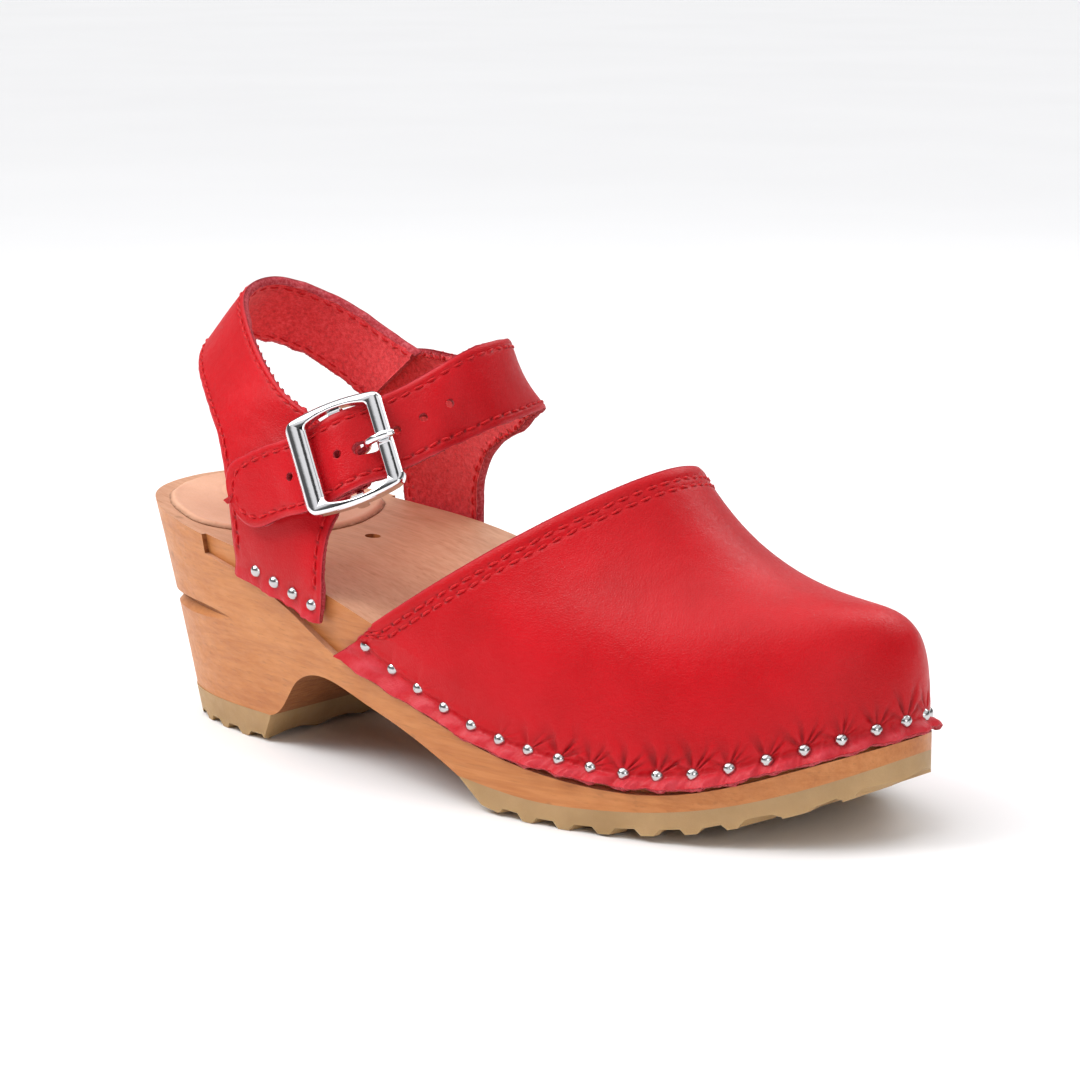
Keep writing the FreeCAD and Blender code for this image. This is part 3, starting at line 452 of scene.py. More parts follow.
def pad_leather():
    m = Shade("pad_leather", Sheen_Weight=0.15)
    base = m.ramp(m.noise(70, 5, 0.6), [(0.3, (0.62, 0.315, 0.185)), (0.7, (0.73, 0.41, 0.26))])
    # towards brown where the edge turns down, as wear; the pad has no painted highlight
    wear_and_highlight = m.times(m.attribute("wear_and_highlight"), m.ramp(m.noise(600, 4, 0.7), [(0.3, 0.5), (0.6, 1.0)]))
    m.colour(m.mix(wear_and_highlight, base, (0.24, 0.10, 0.04)))
    m.rough(m.ramp(m.noise(500, 3), [(0.3, 0.62), (0.7, 0.75)]))
    m.bump([(m.noise(1200, 5, 0.7), 0.0001), (m.noise(150, 3), 0.0003)])
    return m.material


def metal(name, tint, low_rough, high_rough, rounded=False):
    m = Shade(name, Metallic=1.0)
    m.colour(m.ramp(m.noise(200, 3), [(0.3, tuple(c * 0.94 for c in tint)), (0.7, tint)]))
    m.rough(m.ramp(m.noise(1500, 3, 0.6), [(0.3, low_rough), (0.7, high_rough)]))
    layers = [(m.noise(900, 3), 0.00001)]
    if rounded:
        # each bar of the frame reads as gently domed across its width
        direction, across, _ = buckle_axes()
        middle = to_frame(BUCKLE_CENTRE)
        off = []
        for axis, half in ((direction, BUCKLE_HALF[0]), (across, BUCKLE_HALF[1])):
            node = m.add("ShaderNodeVectorMath", operation="DOT_PRODUCT")
            m.put(node, 0, m.place)
            m.put(node, 1, tuple(axis))
            reach = m.maths("SUBTRACT", node.outputs["Value"], float(middle @ axis))
            off.append(m.maths("SUBTRACT", m.maths("ABSOLUTE", reach), half * MM))
        from_middle = m.maths("MAXIMUM", off[0], off[1])
        within = m.times(from_middle, 1 / MM)
        within = m.maths("MINIMUM", m.maths("MAXIMUM", within, -BAR_DOME_REACH), BAR_DOME_REACH)
        dome = m.times(m.times(within, within), -0.5 / BAR_DOME_RADIUS)
        layers.insert(0, (dome, MM))
    m.bump(layers)
    return m.material


LEATHER, SUEDE, EDGE, THREAD = red_leather(), red_suede(), red_edge(), red_thread()
WOOD, RUBBER, PAD = sole_wood(), honey_rubber(), pad_leather()
STEEL = metal("nail_steel", (0.56, 0.55, 0.55), 0.16, 0.26)
CHROME = metal("buckle_chrome", (0.83, 0.83, 0.84), 0.05, 0.09, rounded=True)
TONGUE_CHROME = metal("tongue_chrome", (0.80, 0.80, 0.81), 0.06, 0.11)


# ---- meshes ---------------------------------------------------------------------------------
def paint(mesh, name, values):
    mesh.attributes.new(name, "FLOAT", "POINT").data.foreach_set("value", np.asarray(values, np.float32))


def new_object(name, vertices, faces, materials, indices=None, wear_and_highlight=None, smooth=True):
    mesh = bpy.data.meshes.new(name)
    mesh.from_pydata([tuple(v) for v in vertices], [], [tuple(f) for f in faces])
    for material in materials:
        mesh.materials.append(material)
    if indices is not None:
        mesh.polygons.foreach_set("material_index", indices)
    if smooth:
        mesh.polygons.foreach_set("use_smooth", [True] * len(faces))
    if wear_and_highlight is not None:
        paint(mesh, "wear_and_highlight", wear_and_highlight)
    mesh.update()
    obj = bpy.data.objects.new(name, mesh)
    scene.collection.objects.link(obj)
    return obj


def hide(name, outer, thickness, wear_and_highlight, fuzz, seed, painted_shade=None):
    """A sheet of leather: smooth outer side, suede inner side, and a soft cut edge all round."""
    rows, columns = outer.shape[:2]
    normals = grid_normals(outer)
    inner = outer - normals * np.asarray(thickness)[..., None]
    count = rows * columns
    loop = [(0, j) for j in range(columns)] + [(i, columns - 1) for i in range(1, rows)]
    loop += [(rows - 1, j) for j in range(columns - 2, -1, -1)] + [(i, 0) for i in range(rows - 2, 0, -1)]
    inside = []
    for i, j in loop:
        a = min(max(i, 1), rows - 2)
        b = min(max(j, 1), columns - 2)
        inside.append(outer[a, b])
    edge_out = np.array([outer[p] for p in loop])
    edge_in = np.array([inner[p] for p in loop])
    away = unit(edge_out - np.array(inside))
    normal = np.array([normals[p] for p in loop])
    away = unit(away - normal * (away * normal).sum(-1, keepdims=True))
    thick = norm(edge_out - edge_in, axis=1)
    generator = np.random.default_rng(seed)
    vertices = [outer.reshape(-1, 3), inner.reshape(-1, 3)]
    for k in range(1, EDGE_RINGS + 1):
        share = k / (EDGE_RINGS + 1)
        swell = np.sin(pi * share) * EDGE_BULGE * thick * 0.5 + generator.normal(0, fuzz, len(loop))
        vertices.append(edge_out * (1 - share) + edge_in * share + away * swell[:, None])
    quads, kinds = [], []
    index = np.arange(count).reshape(rows, columns)
    a, b, c, d = index[:-1, :-1], index[1:, :-1], index[1:, 1:], index[:-1, 1:]
    top = np.stack([a, b, c, d], -1).reshape(-1, 4)
    quads.append(top)
    quads.append(top[:, ::-1] + count)
    kinds += [0] * len(top) + [1] * len(top)
    chain = [np.array([index[p] for p in loop])]
    for k in range(EDGE_RINGS):
        chain.append(2 * count + k * len(loop) + np.arange(len(loop)))
    chain.append(chain[0] + count)
    for first, second in zip(chain, chain[1:]):
        quads.append(np.stack([first, np.roll(first, -1), np.roll(second, -1), second], -1)[:, ::-1])
        kinds += [2] * len(loop)
    faces = np.concatenate(quads)
    # wear and painted highlight for every vertex: both faces as given, the edge rings full
    edge = [np.ones(len(loop))] * EDGE_RINGS
    all_wear_and_highlight = np.concatenate([wear_and_highlight.reshape(-1), wear_and_highlight.reshape(-1)] + edge)
    vertices = to_frame(np.concatenate(vertices))
    piece = new_object(name, vertices, faces, (LEATHER, SUEDE, EDGE), kinds, all_wear_and_highlight)
    # painted shade on the outer face only, kept as a mesh attribute for the leather colour
    shade = np.zeros(len(all_wear_and_highlight))
    if painted_shade is not None:
        shade[:count] = painted_shade.reshape(-1)
    paint(piece.data, "painted_shade", shade)
    return piece


def stitches(name, path, normals, pitch, length, radius, sink, seed):
    """A row of separate thread stitches that follow a path on the leather."""
    path, normals = np.asarray(path), np.asarray(normals)
    run = run_along(path)

    def at_run(values, s):
        return np.array([np.interp(s, run, values[:, c]) for c in range(3)])

    generator = random.Random(seed)
    vertices, faces = [], []
    ring, sections = 7, 7
    at = pitch * 0.5
    while at + length < run[-1]:
        stretch = length * generator.uniform(0.93, 1.04)
        lean = generator.uniform(-0.14, 0.14)
        centre_run = at + stretch / 2
        for k in range(sections):
            share = k / (sections - 1)
            s = at + stretch * share
            n = unit(at_run(normals, s))
            forward = unit(at_run(path, min(s + 0.3, run[-1])) - at_run(path, max(s - 0.3, 0)))
            across = unit(np.cross(n, forward))
            profile = sin(pi * (0.04 + 0.92 * share)) ** 0.5
            rise = radius * profile * 0.9 - sink - 0.5 * (1 - profile)
            middle = at_run(path, s) + n * rise + across * lean * (s - centre_run)
            for q in range(ring):
                angle = 2 * pi * q / ring
                push = across * cos(angle) + n * sin(angle) * 0.8
                vertices.append(middle + push * radius * (0.35 + 0.65 * profile))
        base = len(vertices) - ring * sections
        for k in range(sections - 1):
            for q in range(ring):
                r = (q + 1) % ring
                faces.append((base + k * ring + q, base + k * ring + r, base + (k + 1) * ring + r,
                              base + (k + 1) * ring + q))
        faces.append(tuple(base + q for q in range(ring - 1, -1, -1)))
        faces.append(tuple(base + (sections - 1) * ring + q for q in range(ring)))
        at += pitch
    return new_object(name, to_frame(vertices), faces, (THREAD,))


# ---- vamp -----------------------------------------------------------------------------------
def vamp_rows(rows):
    """Dense lines from the margin edge over the dome to the top line, as in the CAD vamp."""
    margin, rim = [spaced(parameter_at(near, *NEAR_SIDE), parameter_at(far, *FAR_SIDE), rows)
                   for near, far in (VAMP_START, VAMP_RIM_START)]
    coarse = spaced(rim[0], rim[-1], 49)
    toe = min(k / 48 for k in range(49) if coarse[k] >= TOE_KNOT)

    def hug(t, drop, flare):
        x = outline(t)[0][..., 0]
        return side(t, along(RIM_HEIGHT, x) - drop, VAMP_LEATHER + FIT_GAP - along(REBATE_DEPTH, x) + flare)

    base = [hug(np.array([t]), 0, 0)[0] + np.array((0, 0, TOPLINE_RISE)) for t in (rim[0], rim[-1])]
    lines = []
    for i in range(rows):
        share = i / (rows - 1)
        low_t, high_t = margin[i], rim[i]
        drop = float(along(MARGIN_DROP, outline(np.array([low_t]))[0][0, 0]))
        below = np.linspace(0, drop, 30)
        flare = MARGIN_FLARE * np.clip(1 - below / 3.4, 0, 1) ** 1.4
        wall_line = hug(low_t + (high_t - low_t) * below / drop, drop - below, flare)
        start = wall_line[-1]
        out = outline(np.array([high_t]))[1][0]
        if share < toe:
            turn, end_base = 0.5 * (share / toe) ** TOPLINE_PACE, base[0]
        else:
            turn, end_base = 1 - 0.5 * ((1 - share) / (1 - toe)) ** TOPLINE_PACE, base[1]
        angle = pi * turn
        sideways = abs(cos(angle)) ** (2 / TOPLINE_POWER)
        upward = max(sin(angle), 0) ** (2 / TOPLINE_POWER)
        end = np.array((end_base[0] + (VAMP_CREST[0] - end_base[0]) * upward,
                        VAMP_CREST[1] + (end_base[1] - VAMP_CREST[1]) * sideways,
                        end_base[2] + (VAMP_CREST[2] - end_base[2]) * upward))
        at_toe = exp(-((share - toe) / 0.22) ** 2)
        at_crest = sin(angle) ** 2
        scale = min(1.0, norm(end - start) / 60)
        wall = (WALL_REACH[0] * (1 - at_toe) + WALL_REACH[1] * at_toe) * scale
        reach = (DOME_REACH[0] * (1 - at_crest ** 2) + DOME_REACH[1] * at_crest ** 2) * scale
        slope = radians(DOME_SLOPE[0] * (1 - at_crest) + DOME_SLOPE[1] * at_crest)
        first = start + unit(np.array((out[0] * WALL_LEAN, out[1] * WALL_LEAN, 1))) * wall
        second = end + np.array((cos(slope), 0, -sin(slope))) * reach
        v = np.linspace(0, 1, 61)[1:, None]
        dome = (start * (1 - v) ** 3 + first * (3 * v * (1 - v) ** 2) + second * (3 * v * v * (1 - v))
                + end * v ** 3)
        lines.append(np.concatenate([wall_line, dome]))
    return lines, margin


def vamp_surface(rows, columns):
    """Even rows and columns that crowd near the margin and the top line; also lengths along each row."""
    lines, margin = vamp_rows(rows)
    grid = np.zeros((rows, columns, 3))
    length = np.zeros((rows, columns))
    for i, line in enumerate(lines):
        run = run_along(line)
        total = run[-1]
        bottom, top = min(24, 0.5 * total), min(11, 0.25 * total)
        low_count, top_count = int(columns * 0.44), int(columns * 0.2)
        middle_count = columns - low_count - top_count
        at = np.concatenate([np.linspace(0, bottom, low_count, endpoint=False),
                             np.linspace(bottom, total - top, middle_count, endpoint=False),
                             np.linspace(total - top, total, top_count)])
        for c in range(3):
            grid[i, :, c] = np.interp(at, run, line[:, c])
        length[i] = at
    kernel = np.array((1, 4, 6, 4, 1)) / 16
    for _ in range(2):
        start, end = grid[:, :1] * 2 - grid[:, 2:0:-1], grid[:, -1:] * 2 - grid[:, -2:-4:-1]
        padded = np.concatenate([start, grid, end], 1)
        grid = sum(k * padded[:, j:j + columns] for j, k in enumerate(kernel))
    return grid, length, margin


def vamp_nail_places():
    """Middles of the nail heads round the margin, as the CAD nails have them."""
    places = spaced(parameter_at(VAMP_START[0] + FIRST_NAIL, *NEAR_SIDE),
                    parameter_at(VAMP_START[1] + FIRST_NAIL, *FAR_SIDE), VAMP_NAILS)
    x = outline(places)[0][:, 0]
    z = along(RIM_HEIGHT, x) - along(MARGIN_DROP, x) + along(NAIL_ABOVE_EDGE, x)
    return side(places, z, VAMP_LEATHER + FIT_GAP - along(REBATE_DEPTH, x))


def pits(run, pitch, length, across):
    """Needle holes between the stitches of a row: run along it and distance across it."""
    phase = (run - pitch * 0.5 + (pitch - length) / 2) / pitch
    near = (phase - np.round(phase)) * pitch
    return np.exp(-(near / PIT) ** 2 - (across / PIT) ** 2)


def make_vamp():
    rows, columns = ((1001, 132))
    grid, length, margin = vamp_surface(rows, columns)
    normals = grid_normals(grid)
    total = length[:, -1:]
    nails = vamp_nail_places()
    at = []
    for nail in nails:
        distance = ((grid[:, :columns // 2] - nail) ** 2).sum(-1)
        at.append(np.unravel_index(np.argmin(distance), distance.shape))
    rows_at = np.array([i for i, _ in at], float)
    number = np.arange(len(nails))
    index = np.arange(rows)
    phase = np.interp(index, rows_at, number)
    step_in, step_out = rows_at[1] - rows_at[0], rows_at[-1] - rows_at[-2]
    phase = np.where(index < rows_at[0], (index - rows_at[0]) / step_in, phase)
    phase = np.where(index > rows_at[-1], number[-1] + (index - rows_at[-1]) / step_out, phase)[:, None]
    nail_up = np.interp(index, rows_at, [length[i, j] for i, j in at])[:, None]
    up = length - nail_up
    x = outline(margin)[0][:, 0]
    toe = np.clip((x - 142) / 30, 0, 1)[:, None]
    toe = toe * toe * (3 - 2 * toe)
    u = phase * NAIL_PITCH
    between = 0.5 - 0.5 * np.cos(2 * pi * phase)
    below = np.clip(-up, 0, None)
    above = np.clip(up, 0, None)
    # the free margin stands off between the nails and is drawn in at each of them
    lip = 1 - bell(below, 1.6)
    offset = (0.55 + 0.75 * toe) * between * lip + 0.25 * lip
    crease = -0.34 * bell(up, 0.9) * (0.35 + 0.65 * between)
    offset += crease * (1 - 0.3 * toe) + 0.22 * bell(up - 1.7, 1.3)
    puckers = lattice(11, u / 1.7, length / 9 + 30) + 0.6 * lattice(12, u / 0.95, length / 6 + 10)
    offset += (0.10 + 0.26 * toe) * puckers * bell(below, 6) * bell(above, 1.6)
    # fans of short folds that run up from the nails, strongest round the toe
    generator = np.random.default_rng(19)
    fans = np.zeros_like(length)
    creased = np.zeros_like(length)
    dents = np.zeros_like(length)
    for k, nail in enumerate(nails):
        i, j = at[k]
        low, high = max(i - rows // 18, 0), min(i + rows // 18, rows)
        part = slice(low, high)
        distance = norm(grid[part] - nail, axis=-1)
        dents[part] = np.minimum(dents[part], -0.42 * bell(distance, 2.4))
        sideways = (phase[part] - k) * NAIL_PITCH
        angle = np.arctan2(sideways, up[part] + 1e-6)
        waves = generator.integers(8, 12)
        turn, second = generator.uniform(0, 6.28, 2)
        tall = generator.uniform(4.6, 6.6)
        fold = np.cos(waves * angle + turn) + 0.6 * np.cos((waves + 5) * angle + second)
        fold = np.where(fold < 0, fold * 1.3, fold * 0.55)
        reach = np.exp(-(distance / tall) ** 2.2) * (1 - np.exp(-(distance / 2.1) ** 3))
        spread = 1 / (1 + np.exp((abs(angle) - 1.15) / 0.14))
        fans[part] += fold * reach * spread * (0.07 + 0.38 * toe[part])
        creased[part] += np.clip(-fold, 0, 1) * reach * spread * toe[part]
    offset += fans + dents
    soft = 0.15 * lattice(14, u / 26, length / 21) + 0.04 * lattice(15, u / 9, length / 10)
    rolled = -0.30 * np.exp(-((total - length) / 0.9)) - 0.25 * np.exp(-length / 0.7)
    pillow = 0.16 * bell(total - 1.7 - length, 1.1)
    offset += soft + rolled + pillow
    # painted shade: the fold creases round the toe are darkened in the colour
    painted_shade = 0.75 * np.clip(creased, 0, 1)
    paths = []
    for below_edge in VAMP_STITCH_ROWS:
        place = np.maximum(total[:, 0] - below_edge, 0.5)
        line = on_rows(grid, length, enumerate(place))
        free = np.flatnonzero(place > nail_up[:, 0] + 1.2)
        run = np.zeros(rows)
        run[free] = run_along(line[free])
        run = run[:, None] * np.ones_like(length)
        stitched = np.zeros((rows, 1))
        stitched[free] = 1
        across = length - place[:, None]
        holes = pits(run, *VAMP_STITCH, across) * stitched
        offset -= 0.16 * bell(across, 0.62) * stitched + 0.34 * holes
        # painted shade in the needle holes too
        painted_shade = np.maximum(painted_shade, holes)
        paths.append([(i, place[i]) for i in free])
    grid = grid + normals * offset[..., None]
    # the cut margin wanders a little, drawn up at the nails
    downward = unit(grid[:, 0] - grid[:, 6])
    wander = 0.35 * lattice(16, u[:, 0] / 6, u[:, 0] * 0) + (0.25 + 0.5 * toe[:, 0]) * (between[:, 0] - 0.6)
    wander = wander + 0.12 * lattice(17, u[:, 0] / 1.3, u[:, 0] * 0)
    grid = grid + downward[:, None, :] * (wander[:, None] * np.exp(-length / 3.0))[..., None]
    # paler margin below the nails, fold ridges round the toe and top edge: partly wear, partly painted
    # highlight where the leather faces up or stands proud
    free_margin = 1 / (1 + np.exp((up + 0.6) / 0.5))
    wear_and_highlight = free_margin * (0.55 + 0.35 * between + 0.2 * lattice(18, u / 2.5, length / 2))
    wear_and_highlight += 0.5 * toe * bell(above, 3.5) * np.clip(fans * 4 + puckers * 0.3, 0, 1)
    wear_and_highlight = np.maximum(np.clip(wear_and_highlight, 0, 1), 0.8 * bell(total - length, 0.5))
    thick = np.full((rows, columns), VAMP_LEATHER - 0.15)
    vamp = hide("vamp_leather", grid, thick, wear_and_highlight, fuzz=0.07, seed=21, painted_shade=painted_shade)
    normals = grid_normals(grid)
    threads = []
    for row, line in enumerate(paths):
        path, normal = on_rows(grid, length, line), on_rows(normals, length, line)
        threads.append(stitches(f"vamp_thread_{row}", path, normal, *VAMP_STITCH, 0.36, 0.02, 40 + row))
    return vamp, threads


# ---- ankle leather --------------------------------------------------------------------------
def in_buckle(points):
    """Points in the buckle's own axes to part coordinates."""
    points = np.atleast_2d(np.asarray(points, float))
    x, y, z = buckle_axes()
    return np.array(BUCKLE_CENTRE) + points[:, :1] * x + points[:, 1:2] * y + points[:, 2:] * z


def strap_end():
    middles = list(in_buckle(STRAP_THROUGH_BUCKLE)) + [np.array(p, float) for p in STRAP_TIP]
    through = len(STRAP_THROUGH_BUCKLE)
    stations = []
    for k, middle in enumerate(middles):
        late = min(1.0, max(0, k - through + 1) / len(STRAP_TIP))
        across = unit(np.array(BUCKLE_ACROSS) * (1 - late) + np.array(STRAP_TIP_ACROSS) * late)
        reach = across * (STRAP_HALF_WIDTH - STRAP_TIP_NARROWING * late)
        stations.append((middle + reach, middle - reach, 0.0))
    return stations


def split_stations(stations):
    """Both edges and the bow at each station, and the distance along the middle line."""
    first, second, bow = [np.array([s[c] for s in stations], float) for c in range(3)]
    return first, second, bow, run_along((first + second) / 2)


def band_surface(stations, facing, step, columns, rounded_end):
    """Dense grid of a strap's outer face, with distances along and across it."""
    first, second, bulge, run = split_stations(stations)
    at = np.linspace(0, run[-1] - rounded_end, int((run[-1] - rounded_end) / step))
    if rounded_end:
        turn = np.linspace(0, pi / 2, int(rounded_end / step * 2.2))[1:]
        at = np.concatenate([at, run[-1] - rounded_end * (1 - np.sin(turn))])
    a, b = spline(run, first, at), spline(run, second, at)
    bow = spline(run, bulge[:, None], at)[:, 0]
    ahead = np.gradient((a + b) / 2, at, axis=0)
    out = unit(np.cross(b - a, ahead)) * facing
    width = norm(b - a, axis=1)
    grid = np.zeros((len(at), columns, 3))
    for j in range(columns):
        share = j / (columns - 1)
        share = share - 0.055 * sin(2 * pi * share)
        grid[:, j] = a + (b - a) * share + out * (4 * bow * share * (1 - share))[:, None]
    left = run[-1] - at
    keep = end_width(left, rounded_end)
    centre = (a + b) / 2
    grid = centre[:, None] + (grid - centre[:, None]) * keep[:, None, None]
    if facing > 0:
        grid = grid[:, ::-1]
    return grid, at, left, norm(grid - grid[:, :1], axis=2), width


def end_width(left, rounded_end):
    """Share of the full width at a distance from a rounded end."""
    if not rounded_end:
        return np.ones_like(left)
    inside = np.clip(left / rounded_end, 0, 1)
    return np.maximum(1 - (1 - inside) ** 2.5, 0.0025) ** (1 / 2.5)


def make_band(name, stations, facing, seed, rounded_end=0.0):
    step = 0.5
    grid, at, left, across, width = band_surface(stations, facing, step, BAND_COLUMNS, rounded_end)
    rows = len(at)
    normals = grid_normals(grid)
    full = across[:, -1:]
    other = full - across
    along_it = at[:, None] + 0 * across
    soft = 0.16 * lattice(seed, along_it / 17, across / 13)
    soft += 0.05 * lattice(seed + 1, along_it / 5, across / 5)
    offset = soft - 0.32 * np.exp(-across / 0.8) - 0.32 * np.exp(-other / 0.8)
    offset += 0.12 * bell(across - 1.2, 0.8) + 0.12 * bell(other - 1.2, 0.8)
    # the nailed end: dents under the heads, and a free lip that stands off below them
    nails = []
    for k in range(4):
        share = QUARTER_NAILS[0] + (QUARTER_NAILS[1] - QUARTER_NAILS[0]) * k / 3
        rise = QUARTER_NAIL_RISE[0] + (QUARTER_NAIL_RISE[1] - QUARTER_NAIL_RISE[0]) * k / 3
        low, high = [np.array(s[0]) * (1 - share) + np.array(s[1]) * share for s in stations[:2]]
        nails.append(low + (high - low) * rise)
    nearest = np.min([((grid[:rows // 3] - nail) ** 2).sum(-1) for nail in nails], axis=0) ** 0.5
    dents = np.zeros_like(across)
    dents[:rows // 3] = -0.42 * bell(nearest, 2.3)
    lip = bell(at[:, None], 2.3)
    ripple = 0.5 * lattice(seed + 3, across / 3.1, along_it / 7)
    ripple += 0.3 * lattice(seed + 4, across / 1.4, along_it / 4)
    offset += dents + lip * (0.75 + ripple) + 0.14 * ripple * bell(at[:, None], 6.5)
    # a stitched row along both edges, round the rounded end where there is one
    half_in = (width / 2 - STITCH_INSET) * end_width(np.maximum(left - STITCH_INSET, 0), rounded_end)
    first, last = int(np.searchsorted(at, STITCH_START)), rows - 1
    if rounded_end:
        last = int(np.flatnonzero(left > STITCH_INSET + 0.05)[-1])
    # painted shade in the needle holes of the stitched rows
    painted_shade = np.zeros_like(across)
    lines = [[(i, full[i, 0] / 2 - half_in[i]) for i in range(first, last + 1)],
             [(i, full[i, 0] / 2 + half_in[i]) for i in range(first, last + 1)]]
    if rounded_end:
        lines = [lines[0] + lines[1][::-1]]
    one_way = last + 1 - first
    for line in lines:
        run = run_along(on_rows(grid, across, line))
        for start in range(0, len(line), one_way):
            part = slice(start, start + one_way)
            rows_here = [i for i, _ in line[part]]
            gap = across[rows_here] - np.array([place for _, place in line[part]])[:, None]
            holes = pits(run[part][:, None] + 0 * gap, *STRAP_STITCH, gap)
            offset[rows_here] -= 0.14 * bell(gap, 0.6) + 0.3 * holes
            painted_shade[rows_here] = np.maximum(painted_shade[rows_here], holes)
    grid = grid + normals * offset[..., None]
    sideways = unit(grid[:, -1] - grid[:, 0])
    grid[:, 0] -= sideways * (0.12 * lattice(seed + 5, at / 3.0, at * 0))[:, None]
    grid[:, -1] += sideways * (0.12 * lattice(seed + 6, at / 3.0, at * 0))[:, None]
    # paler along both edges, and on the free lip at the nailed end, which is partly wear and partly a
    # painted highlight where it turns up
    wear_and_highlight = 0.7 * bell(across, 0.5) + 0.7 * bell(other, 0.5)
    wear_and_highlight = np.clip(wear_and_highlight + bell(at[:, None], 2.6) * (0.6 + 0.5 * ripple), 0, 1)
    thick = STRAP_THICKNESS - 0.1
    piece = hide(name, grid, np.full(across.shape, thick), wear_and_highlight, fuzz=0.08, seed=seed + 9, painted_shade=painted_shade)
    threads = []
    normals = grid_normals(grid)
    for number, line in enumerate(lines):
        path, normal = on_rows(grid, across, line), on_rows(normals, across, line)
        back = path - normal * thick
        for label, start, up, radius, sink, order in (("thread", path, normal, 0.34, 0.02, 20),
                                                      ("back_thread", back, -normal, 0.33, 0.12, 30)):
            threads.append(stitches(f"{name}_{label}_{number}", start, up, *STRAP_STITCH, radius, sink,
                                    seed + order + number))
    return piece, threads


def cutter(name, centre, axis, radius, half=6.0, stretch=0.0, stretch_axis=None, segments=20):
    """A closed rod, or a flattened one, to cut with; points in part coordinates."""
    axis = unit(np.asarray(axis, float))
    one = unit(np.asarray(stretch_axis, float)) if stretch_axis is not None else unit(
        np.cross(axis, (0.3, 0.5, 0.8)))
    two = np.cross(axis, one)
    ring = []
    for k in range(segments):
        angle = 2 * pi * (k + 0.5) / segments
        push = stretch / 2 * (1 if cos(angle) > 0 else -1)
        ring.append(one * (cos(angle) * radius + push) + two * sin(angle) * radius)
    vertices = [centre + p + axis * s * half for s in (-1, 1) for p in ring]
    faces = [(k, (k + 1) % segments, segments + (k + 1) % segments, segments + k) for k in range(segments)]
    faces += [tuple(range(segments))[::-1], tuple(range(segments, 2 * segments))]
    return new_object(name, to_frame(vertices), faces, (EDGE,), smooth=False)


def punched(obj, tools):
    """Cuts the tools out of a piece and removes them."""
    for tool in tools:
        change = obj.modifiers.new("cut", "BOOLEAN")
        change.operation = "DIFFERENCE"
        change.solver = "EXACT"
        change.object = tool
    bpy.context.view_layer.update()
    final = bpy.data.meshes.new_from_object(obj.evaluated_get(bpy.context.evaluated_depsgraph_get()))
    old = obj.data
    obj.modifiers.clear()
    obj.data = final
    bpy.data.meshes.remove(old)
    for tool in tools:
        bpy.data.objects.remove(tool)
    return obj


def hole_tools(stations):
    """Cutters for the strap's holes, at an even pitch from the one that the tongue uses."""
    first, second, _, run = split_stations(stations)
    fine = np.linspace(0, run[-1], 3000)
    line = spline(run, (first + second) / 2, fine)
    lengths = run_along(line)
    a, b = spline(run, first, fine), spline(run, second, fine)
    slot_x, stretch, width = TONGUE_SLOT
    start = in_buckle((slot_x + 1, 1, 0))[0]
    zero = lengths[np.argmin(norm(line - start, axis=1))]
    tools = []
    for number, k in enumerate(STRAP_HOLES):
        i = int(np.argmin(abs(lengths - (zero + k * STRAP_HOLE_PITCH + TIP_HOLE_STEP * (k > 0)))))
        out = np.cross(b[i] - a[i], line[min(i + 5, 2999)] - line[i - 5])
        tools.append(cutter(f"hole_{number}", line[i], out, STRAP_HOLE / 2))
    direction, _, outward = buckle_axes()
    tools.append(cutter("slot", in_buckle((slot_x, 0, 0))[0], outward, width / 2 + SLOT_EASE, 4.5,
                        stretch + 2 * SLOT_EASE, direction))
    return tools


def make_tab():
    """Leather that wraps the centre bar, its tail under the strap, slotted for the tongue."""
    path = [(x, -TAB_RADIUS) for x in np.linspace(TAB_TAIL, 0, 34)]
    for angle in np.radians(np.linspace(-90, TAB_WRAP, 60)[1:]):
        path.append((TAB_RADIUS * cos(angle), TAB_RADIUS * sin(angle)))
    path = np.array(path)
    turned = np.stack([path[:, 0] * cos(TAB_TILT) - path[:, 1] * sin(TAB_TILT),
                       path[:, 0] * sin(TAB_TILT) + path[:, 1] * cos(TAB_TILT)], -1)
    columns = 33
    ys = np.linspace(-TAB_HALF_WIDTH, TAB_HALF_WIDTH, columns)
    grid = np.zeros((len(turned), columns, 3))
    for j, y in enumerate(ys):
        grid[:, j] = in_buckle([(x, y, z - CENTRE_BAR_DEPTH) for x, z in turned])
    normals = grid_normals(grid)
    u, v = np.meshgrid(np.arange(len(turned)) * 0.4, ys, indexing="ij")
    grid = grid + normals * (0.05 * lattice(71, u / 3 + 5, v / 3 + 9))[..., None]
    thick, wear_and_highlight = np.full(grid.shape[:2], TAB_THICKNESS), np.zeros(grid.shape[:2])
    tab = hide("buckle_tab_leather", grid, thick, wear_and_highlight, fuzz=0.04, seed=72)
    direction, _, outward = buckle_axes()
    slot = cutter("tab_slot", in_buckle((2.5, 0, -2))[0], outward, 1.4, 6.5, 9.0, direction)
    return punched(tab, [slot])


# ---- heel pad -------------------------------------------------------------------------------
def footbed(x, y):
    rim = along(RIM_HEIGHT, np.clip(x, 0, 247))
    half = 36 + 8 * np.sin(pi * np.clip(x, 0, 240) / 240)
    return rim - along(FOOTBED_DISH, x) * np.maximum(0, 1 - (y / half) ** 2) ** 1.5


